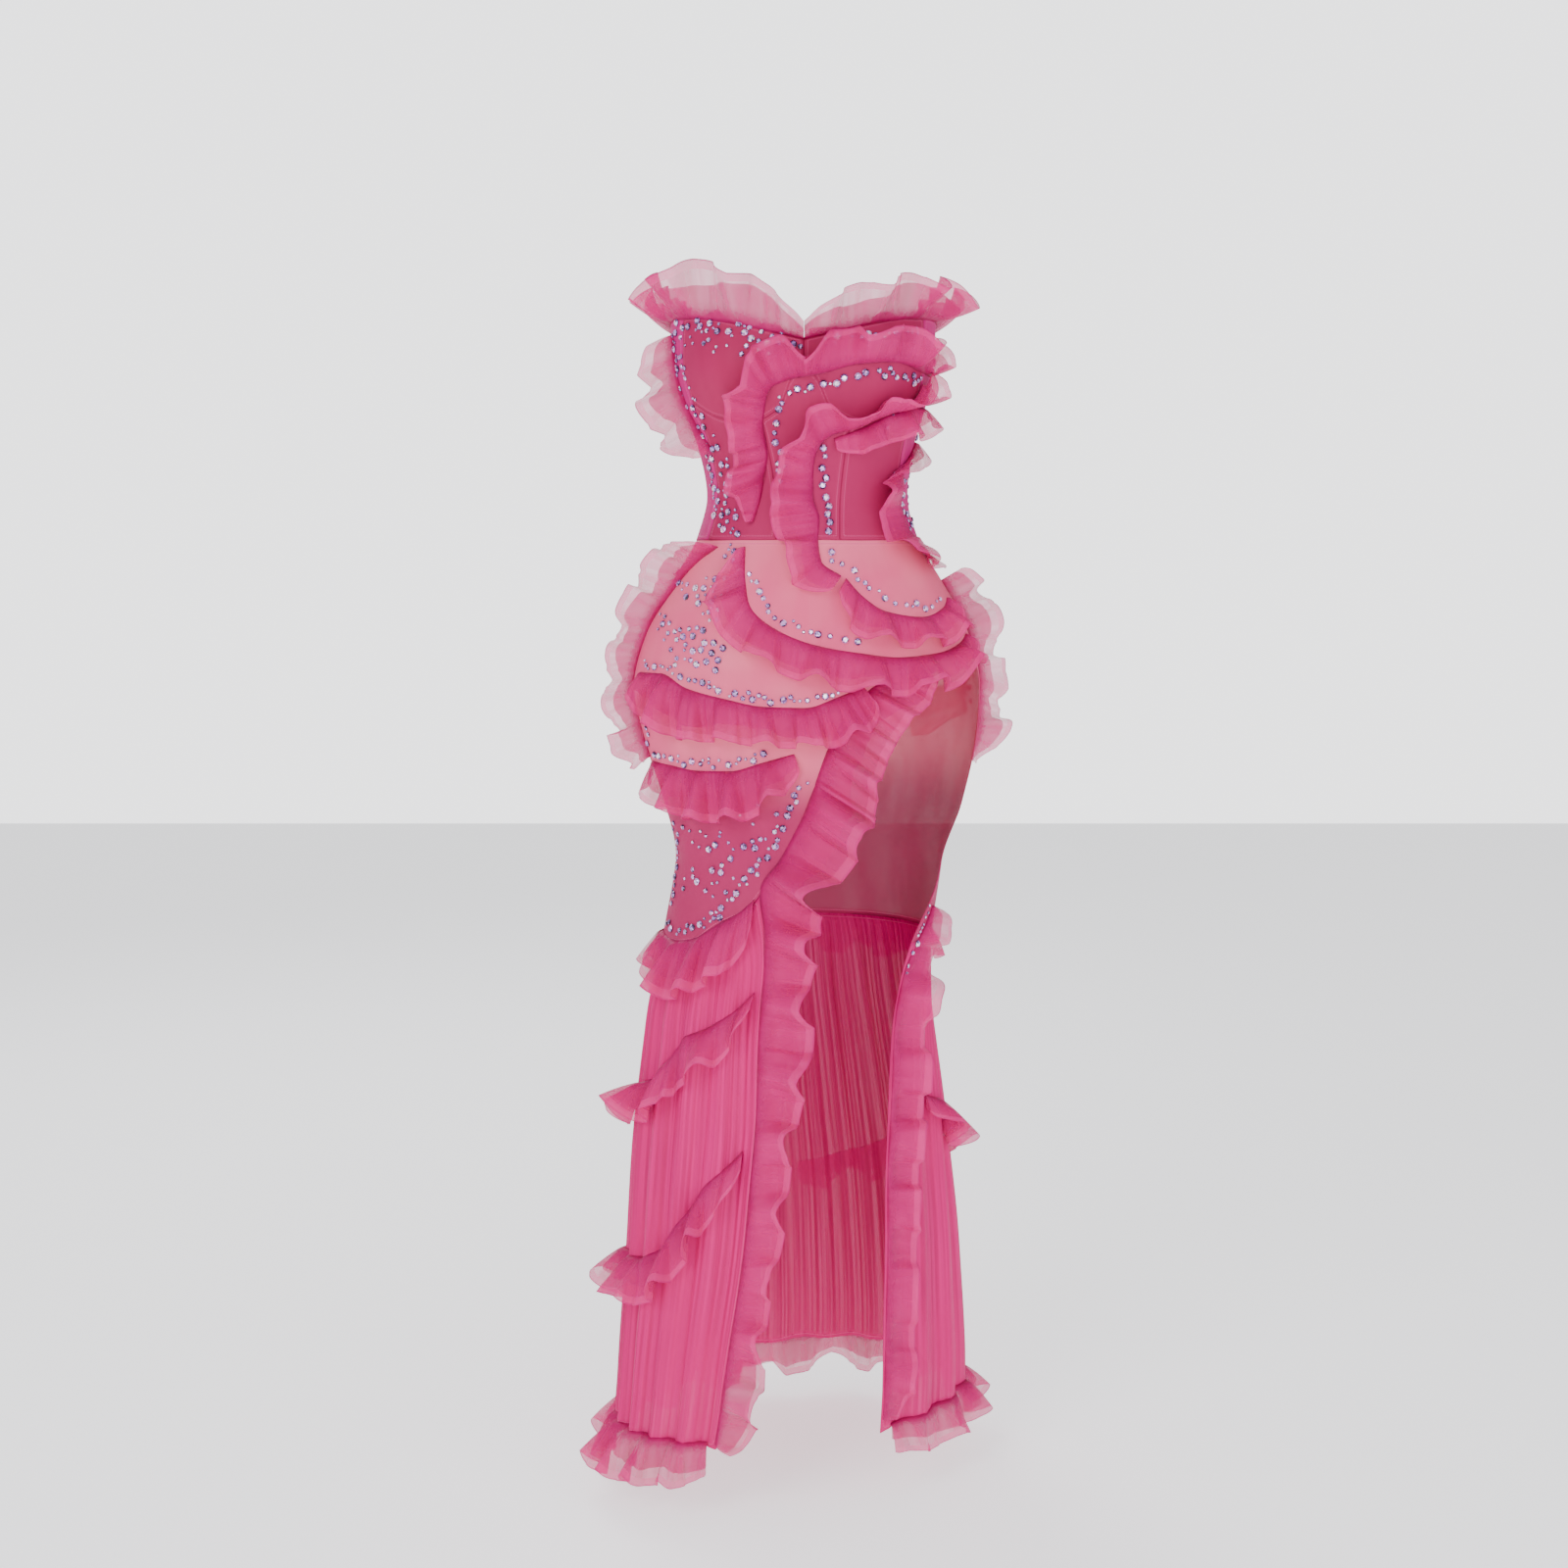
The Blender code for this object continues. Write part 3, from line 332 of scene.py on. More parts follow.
def makeOrganza(name, look):
    made, tree, shader = newFinish(name)
    uv = addNode(tree, "ShaderNodeUVMap", uv_map="cloth").outputs[0]
    reach = addNode(tree, "ShaderNodeAttribute", attribute_name="reach").outputs["Fac"]
    streak = useGroup(tree, streakGroup, {"UV": uv, "Across": look["across"], "Along": look["along"]})
    hem = between(tree, reach, look["hemStart"], look["hemStart"] + look["lineWidth"])
    off = mathNode(tree, "ABSOLUTE", mathNode(tree, "SUBTRACT", reach, look["hemStart"]))
    fold = between(tree, off, 0.0, look["lineWidth"], 0.35, 0.0)
    edge = between(tree, reach, look["edgeStart"], look["edgeStart"] + look["lineWidth"])
    line = mathNode(tree, "MAXIMUM", fold, edge)
    tone = mixColour(tree, between(tree, reach, 0.0, 0.4), look["root"], look["middle"])
    tone = mixColour(tree, hem, tone, look["outer"])
    tree.links.new(mixColour(tree, line, tone, look["edge"]), shader.inputs["Base Color"])
    body = between(tree, streak, 0.0, 1.0, look["dense"], look["thin"])
    body = mathNode(tree, "ADD", body, between(tree, reach, 0.0, 0.3, look["gathered"], 0.0))
    alpha = mathNode(tree, "MAXIMUM", body, mathNode(tree, "MULTIPLY", hem, look["hemAlpha"]))
    alpha = mathNode(tree, "MAXIMUM", alpha, mathNode(tree, "MULTIPLY", line, look["lineAlpha"]))
    tree.links.new(alpha, shader.inputs["Alpha"])
    weave = useGroup(tree, weaveGroup, {"UV": uv, "Threads": 1400.0})
    gathers = mathNode(tree, "MULTIPLY", streak, between(tree, reach, 0.0, 0.5, 0.8, 0.05))
    relief = mathNode(tree, "ADD", mathNode(tree, "MULTIPLY_ADD", weave, 0.1, gathers), line)
    bumpFrom(tree, shader, relief, 0.22, 0.0005)
    tree.links.new(between(tree, streak, 0.0, 1.0, 0.42, 0.55), shader.inputs["Roughness"])
    softSheen(shader, look["sheen"])
    return made


def makeStone(name):
    # cut glass with a silvered back: each facet reads its own painted glint, from dark lilac to white, the
    # stones' own lilac mixed with painted reflections and a white painted highlight
    made, tree, shader = newFinish(name)
    paintedGlint = addNode(tree, "ShaderNodeAttribute", attribute_name="paintedGlint").outputs["Fac"]
    ramp = addNode(tree, "ShaderNodeValToRGB", {0: paintedGlint})
    stops = [
        (0.0, (0.015, 0.006, 0.03, 1)), (0.3, (0.08, 0.03, 0.13, 1)), (0.5, (0.32, 0.16, 0.50, 1)),
        (0.66, (0.66, 0.46, 0.92, 1)), (0.8, (0.86, 0.30, 0.66, 1)), (0.9, (1.0, 0.96, 1.0, 1)),
    ]
    while len(ramp.color_ramp.elements) < len(stops):
        ramp.color_ramp.elements.new(0.5)
    for element, (position, colour) in zip(ramp.color_ramp.elements, stops):
        element.position = position
        element.color = colour
    tree.links.new(ramp.outputs[0], shader.inputs["Base Color"])
    tree.links.new(between(tree, paintedGlint, 0.0, 1.0, 0.22, 0.06), shader.inputs["Roughness"])
    shader.inputs["Metallic"].default_value = 0.3
    shader.inputs["Coat Weight"].default_value = 0.6
    shader.inputs["Coat Roughness"].default_value = 0.05
    return made


def makeMetal(name, colour, roughness):
    made, tree, shader = newFinish(name)
    place = addNode(tree, "ShaderNodeTexCoord").outputs["Object"]
    scratch = addNode(tree, "ShaderNodeTexNoise", {"Vector": place, "Scale": 900.0, "Detail": 3.0}).outputs[0]
    tone = mixColour(tree, between(tree, scratch, 0.3, 0.7, 0.0, 0.3), colour, (0.45, 0.43, 0.42, 1))
    tree.links.new(tone, shader.inputs["Base Color"])
    tree.links.new(between(tree, scratch, 0.3, 0.7, roughness, roughness + 0.15), shader.inputs["Roughness"])
    bumpFrom(tree, shader, scratch, 0.1, 0.0001)
    shader.inputs["Metallic"].default_value = 1.0
    return made


def makeTape(name, colour, light):
    made, tree, shader = newFinish(name)
    uv = addNode(tree, "ShaderNodeUVMap", uv_map="cloth").outputs[0]
    weave = useGroup(tree, weaveGroup, {"UV": uv, "Threads": 700.0})
    tree.links.new(mixColour(tree, weave, colour, light), shader.inputs["Base Color"])
    bumpFrom(tree, shader, weave, 0.5, 0.0004)
    tree.links.new(between(tree, weave, 0.0, 1.0, 0.75, 0.6), shader.inputs["Roughness"])
    return made


finishes = {name: makeMesh(name, look) for name, look in meshFinishes.items()}
finishes["organza"] = makeOrganza("organzaPink", organzaLook)
finishes["stone"] = makeStone("cutStone")
finishes["nickel"] = makeMetal("nickelPlate", (0.78, 0.76, 0.75, 1), 0.18)
finishes["tape"] = makeTape("zipTapePink", (0.36, 0.005, 0.11, 1), (0.52, 0.02, 0.17, 1))
finishes["teeth"] = makeTape("zipTeethPink", (0.88, 0.34, 0.52, 1), (0.95, 0.50, 0.66, 1))
print("finishes made")


# Sheets of cloth laid on the worn form


def outwards(points):
    # which way round the quads have to run, so that the faces point away from the body
    middle = points[points.shape[0] // 2, points.shape[1] // 2]
    normal = np.cross(points[1:, :-1] - points[:-1, :-1], points[:-1, 1:] - points[:-1, :-1])
    away = points[:-1, :-1] - np.array([0.0, 0.02, 0.0])
    away[..., 2] = 0
    return (normal * away).sum() > 0


def layCloth(name, points, finish, thickness, marks=None):
    # a grid of points becomes one sheet with a wall; its UV map holds lengths of cloth in metres
    rows, columns = points.shape[:2]
    across = np.linalg.norm(np.diff(points, axis=1), axis=2)
    along = np.linalg.norm(np.diff(points, axis=0), axis=2)
    u = np.concatenate([[0], np.cumsum(across.mean(axis=0))])
    v = np.concatenate([[0], np.cumsum(along.mean(axis=1))])
    index = np.arange(rows * columns).reshape(rows, columns)
    corners = [index[:-1, :-1], index[1:, :-1], index[1:, 1:], index[:-1, 1:]]
    quads = np.stack(corners, axis=-1).reshape(-1, 4)
    if not outwards(points):
        quads = quads[:, ::-1]
    mesh = bpy.data.meshes.new(name)
    mesh.from_pydata(points.reshape(-1, 3).tolist(), [], quads.tolist())
    layer = mesh.uv_layers.new(name="cloth")
    places = np.stack(np.meshgrid(u, v), axis=-1).reshape(-1, 2)
    layer.data.foreach_set("uv", places[quads.ravel()].astype(np.float32).ravel())
    for title, values in (marks or {}).items():
        mark = mesh.attributes.new(title, "FLOAT", "POINT")
        mark.data.foreach_set("value", np.broadcast_to(values, (rows, columns)).astype(np.float32).ravel())
    mesh.polygons.foreach_set("use_smooth", np.ones(len(quads), bool))
    mesh.materials.append(finishes[finish])
    piece = bpy.data.objects.new(name, mesh)
    bpy.context.collection.objects.link(piece)
    wall = piece.modifiers.new("wall", "SOLIDIFY")
    wall.thickness = thickness
    wall.offset = 0
    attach(piece, "root")
    return piece


def fromEdges(points):
    # how far each point is, along the cloth, from the nearest edge of its panel
    across = np.linalg.norm(np.diff(points, axis=1), axis=2)
    along = np.linalg.norm(np.diff(points, axis=0), axis=2)
    left = np.concatenate([np.zeros((points.shape[0], 1)), np.cumsum(across, axis=1)], axis=1)
    top = np.concatenate([np.zeros((1, points.shape[1])), np.cumsum(along, axis=0)], axis=0)
    return np.minimum(left, left[:, -1:] - left), np.minimum(top, top[-1:] - top)


panelCut = dict(
    wall=0.5 * mm, sink=0.9 * mm,  # the sheet's wall, and how far its middle lies inside the outer face
    # sewn edges lie a hair over each other, and a lower panel goes up under the one above, drawn in there
    seamGap=-0.2 * mm, tuck=2.0 * mm, tuckIn=1.1 * mm, gatheredTuckIn=1.4 * mm,
    ridge=0.55 * mm, ridgeAt=4.5 * mm, ridgeWidth=1.6 * mm,  # the boning channel beside each long seam
    dip=0.45 * mm, dipWidth=1.3 * mm,  # the dip along the seam itself
    gathers=1.15 * mm, gathersPerFold=4, gatheredSink=0.4 * mm,
    fineGathers=0.3, finePerGather=2.31, fineReach=0.15, gathersStart=0.02,
    drag=0.45 * mm, dragFade=0.02, dragLimit=0.5 * mm,  # the soft drag lines of the smooth skirt panels
    creaseReach=0.05, creaseFade=0.012, keptIn=0.3 * mm,  # the bodice's creases stay under the outer face
    seams=dict(centreTop=22.0, centreFoot=16.0, sideFront=62.0, sideBack=118.0, frontEnd=80.0, corner=-20.0),
)

# how many points each panel has: rows and columns, or the rows or columns alone
panelGrid = dict(
    centreRows=76, centreHalf=24, cupRows=46, cup=64, frontRows=64, front=44, sideRows=82, side=56,
    skirtRows=88, skirtFront=190, skirtBack=100, lowerRows=58, lowerFront=230, lowerBack=470,
)


def seamAngle(distance, height):
    radius = (throughKnots(height, wornForm["rings"], 1) + throughKnots(height, wornForm["rings"], 2)) / 2
    return np.degrees(distance / radius)


def bodicePoints(topAngles, footAngles, topLine, footLine, rows, side, seed, tension):
    # straight lines from the top edge to the foot edge, sunk a little under the solid's face, with a dip at
    # each long seam, a boning channel beside it, and soft level creases that fade away from the waist
    down = np.linspace(0, 1, rows)[:, None]
    angle = side * (topAngles + (footAngles - topAngles) * down)
    height = topLine + (footLine - topLine) * down
    flat = offBody(angle, height, np.zeros_like(height))
    beside, beyond = fromEdges(flat)
    cut = panelCut
    out = cut["ridge"] * np.exp(-(((beside - cut["ridgeAt"]) / cut["ridgeWidth"]) ** 2))
    out = out - cut["dip"] * np.exp(-((beside / cut["dipWidth"]) ** 2))
    creases = ripple(np.radians(angle) * 3.0, height * 260, seed)
    creases = creases * np.exp(-((height / cut["creaseReach"]) ** 2))
    out = out + tension * creases * np.clip(beside / cut["creaseFade"], 0, 1)
    out = np.minimum(out, cut["sink"] - cut["keptIn"]) - cut["sink"]
    return flat + bodyNormal(angle, height) * out[..., None], np.minimum(beside, beyond)


def makeBodice():
    # each panel: angles at the top edge and at the foot, the heights of both, rows, side, finish and creases
    cut, seams, grid = panelCut, panelCut["seams"], panelGrid
    seam = seamAngle(cut["seamGap"] / 2, 0.0)
    foot = wornForm["corsetEdge"] + cut["seamGap"] / 2
    under = lambda angles: throughKnots(np.abs(angles), wornForm["underCup"]) - cut["seamGap"] / 2
    neck = lambda angles: throughKnots(np.abs(angles), wornForm["neckline"])
    made = {}
    half = np.linspace(0, seams["centreTop"] - seam, grid["centreHalf"])
    top = np.concatenate([-half[:0:-1], half])
    low = np.linspace(-seams["centreFoot"] + seam, seams["centreFoot"] - seam, len(top))
    made["bodice_front_centre"] = (top, low, under(top), foot, grid["centreRows"], 1, "sheerRose", 0.25)
    for side, hand in ((-1, "right"), (1, "left")):
        cup = np.linspace(seam, seams["sideFront"] - seam, grid["cup"])
        cupFoot = under(cup) + cut["seamGap"]
        made[f"bodice_cup_{hand}"] = (cup, cup, neck(cup), cupFoot, grid["cupRows"], side, "sheerRose", 0.1)
        top = np.linspace(seams["centreTop"] + seam, seams["sideFront"] - seam, grid["front"])
        low = np.linspace(seams["centreFoot"] + seam, seams["sideFront"] - seam, grid["front"])
        made[f"bodice_front_{hand}"] = (top, low, under(top), foot, grid["frontRows"], side, "sheerRose", 0.3)
        spans = dict(side=(seams["sideFront"], seams["sideBack"]), back=(seams["sideBack"], 180.0))
        for place, (start, end) in spans.items():
            line = np.linspace(start + seam, end - seam, grid["side"])
            panel = (line, line, neck(line), foot, grid["sideRows"], side, "sheerMagenta", 0.4)
            made[f"bodice_{place}_{hand}"] = panel
    for number, (node, panel) in enumerate(made.items()):
        top, low, topLine, footLine, rows, side, finish, tension = panel
        points, seamMark = bodicePoints(top, low, topLine, footLine, rows, side, 40 + number, tension * mm)
        piece = layCloth("cloth_" + node, points, finish, cut["wall"], {"seam": seamMark})
        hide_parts(node)
    print("bodice made")


def gatherDepth(angle, height, seed, top):
    # fine gathers: so many waves to each fold, wandering a little, strongest under the seam they hang from
    cut = panelCut
    phase = foldPhase(angle, height) * cut["gathersPerFold"]
    phase = phase + 0.35 * ripple(np.radians(angle) * 6.0, height * 7.0, seed)
    strength = cut["gathers"] * (0.75 + 0.25 * ripple(np.radians(angle) * 9.0, height * 5.0, seed + 1))
    started = np.clip((top - height) / cut["gathersStart"], 0.25, 1)
    strayed = 1.7 * ripple(np.radians(angle) * 4.0, height * 9.0, seed + 2)
    fine = cut["fineGathers"] * np.cos(turn * phase * cut["finePerGather"] + strayed)
    fine = fine * np.exp(-(top - height) / cut["fineReach"])
    return -strength * (1 - np.cos(turn * phase)) / 2 * started + strength * fine * started


def makeSkirt():
    # each panel: its angles, heights and finish, how it is held, and the height that its gathers start from
    cut, seams, grid = panelCut, panelCut["seams"], panelGrid
    top = wornForm["corsetEdge"] + cut["tuck"]
    seam = seamAngle(cut["seamGap"] / 2, -0.2)
    made = {}
    edge = lambda angles: throughKnots(angles, wornForm["frontEdge"])
    spread = np.linspace(0.013, 1, grid["skirtRows"])
    down = np.concatenate([[0, 0.004], spread])[:, None]  # its second row is the seam line
    angle = np.linspace(-90 + seam, seams["frontEnd"] - 2 * seam, grid["skirtFront"])[None, :]
    height = top + (edge(angle) + cut["seamGap"] / 2 - top) * down
    made["skirt_front"] = (np.broadcast_to(angle, height.shape), height, "sheerHip", "stretched", 0)
    yoke = wornForm["yokeEdge"] + cut["seamGap"] / 2
    height = (top + (yoke - top) * down)[:, :1]
    share = np.linspace(0, 1, grid["skirtBack"])[None, :]
    angle = 180 + seam + (90 - 2 * seam) * share
    made["skirt_back_right"] = (*np.broadcast_arrays(angle, height), "sheerHip", "stretched", 0)
    slit = throughKnots(height, wornForm["slitBack"]) + seam
    angle = slit + (180 - seam - slit) * share
    made["skirt_back_left"] = (angle, np.broadcast_to(height, angle.shape), "sheerHip", "stretched", 0)
    down = np.linspace(0, 1, grid["lowerRows"])[:, None]
    share = np.linspace(0, 1, grid["lowerFront"])[None, :]
    head = edge(-90 + seam + (seams["corner"] + 90 - seam) * share) + cut["tuck"]
    height = head + (wornForm["hemFront"] - head) * down
    slit = throughKnots(height[:, -1:], wornForm["slitFront"])
    angle = -90 + seam + (slit + 90 - seam) * share
    made["skirt_lower_front"] = (angle, height, "gatheredMesh", "gathered", head)
    share = np.linspace(0, 1, grid["lowerBack"])[None, :]
    head = wornForm["yokeEdge"] + cut["tuck"]
    height = head + (wornForm["hemBack"] - head) * down
    slit = throughKnots(height, wornForm["slitBack"])
    angle = slit + (270 - seam - slit) * share
    made["skirt_lower_back"] = (angle, np.broadcast_to(height, angle.shape), "gatheredMesh", "gathered", head)
    for number, (node, (angle, height, finish, held, head)) in enumerate(made.items()):
        flat = offBody(angle, height, np.zeros(angle.shape))
        beside, beyond = fromEdges(flat)
        beyond = np.abs(beyond - cut["tuck"])  # the seam shows where the tucked edge comes out
        if held == "gathered":
            out = gatherDepth(angle, height, 70 + number, head) - cut["gatheredSink"]
            out = out - cut["gatheredTuckIn"] * np.exp(-(((head - height) / (1.5 * cut["tuck"])) ** 2))
        else:
            drag = ripple(np.radians(angle) * 7.0 + height * 22, height * 34, 60 + number)
            out = cut["drag"] * drag * np.clip(beside / cut["dragFade"], 0, 1)
            out = out - cut["dip"] * np.exp(-((beside / cut["dipWidth"]) ** 2))
            out = out - cut["tuckIn"] * np.exp(-(((top - height) / (1.5 * cut["tuck"])) ** 2))
            out = np.minimum(out, cut["dragLimit"]) - cut["sink"]
        points = flat + bodyNormal(angle, height) * out[..., None]
        piece = layCloth("cloth_" + node, points, finish, cut["wall"], {"seam": np.minimum(beside, beyond)})
        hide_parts(node)
    print("skirt made")


makeBodice()
makeSkirt()


ruffleStyle = dict(
    wall=0.35 * mm, clear=0.8 * mm, radius=0.15, perWave=40, across=15,
    lean=0.05, snake=0.045, wander=0.12, uneven=0.3, second=0.2, bow=8,
    pleats=2.6, pleatSwing=7, crimp=1.2 * mm, crimps=7.3, sewnIn=0.12, sunk=0.5 * mm,
    usualTaper=(0.45, 0.45), taperReach=0.7,
    raisedRange=(10, 70), slopeRange=(6, 84), leastSlope=1.5,  # degrees off the body
    # the shorter second layer: its share of the width, degrees below the first, and how deep its root is sunk
    under=dict(width=0.66, lower=5, more=8, perWave=28, across=10, sunk=0.9 * mm, below=0.3 * mm, reach=0.8),
)

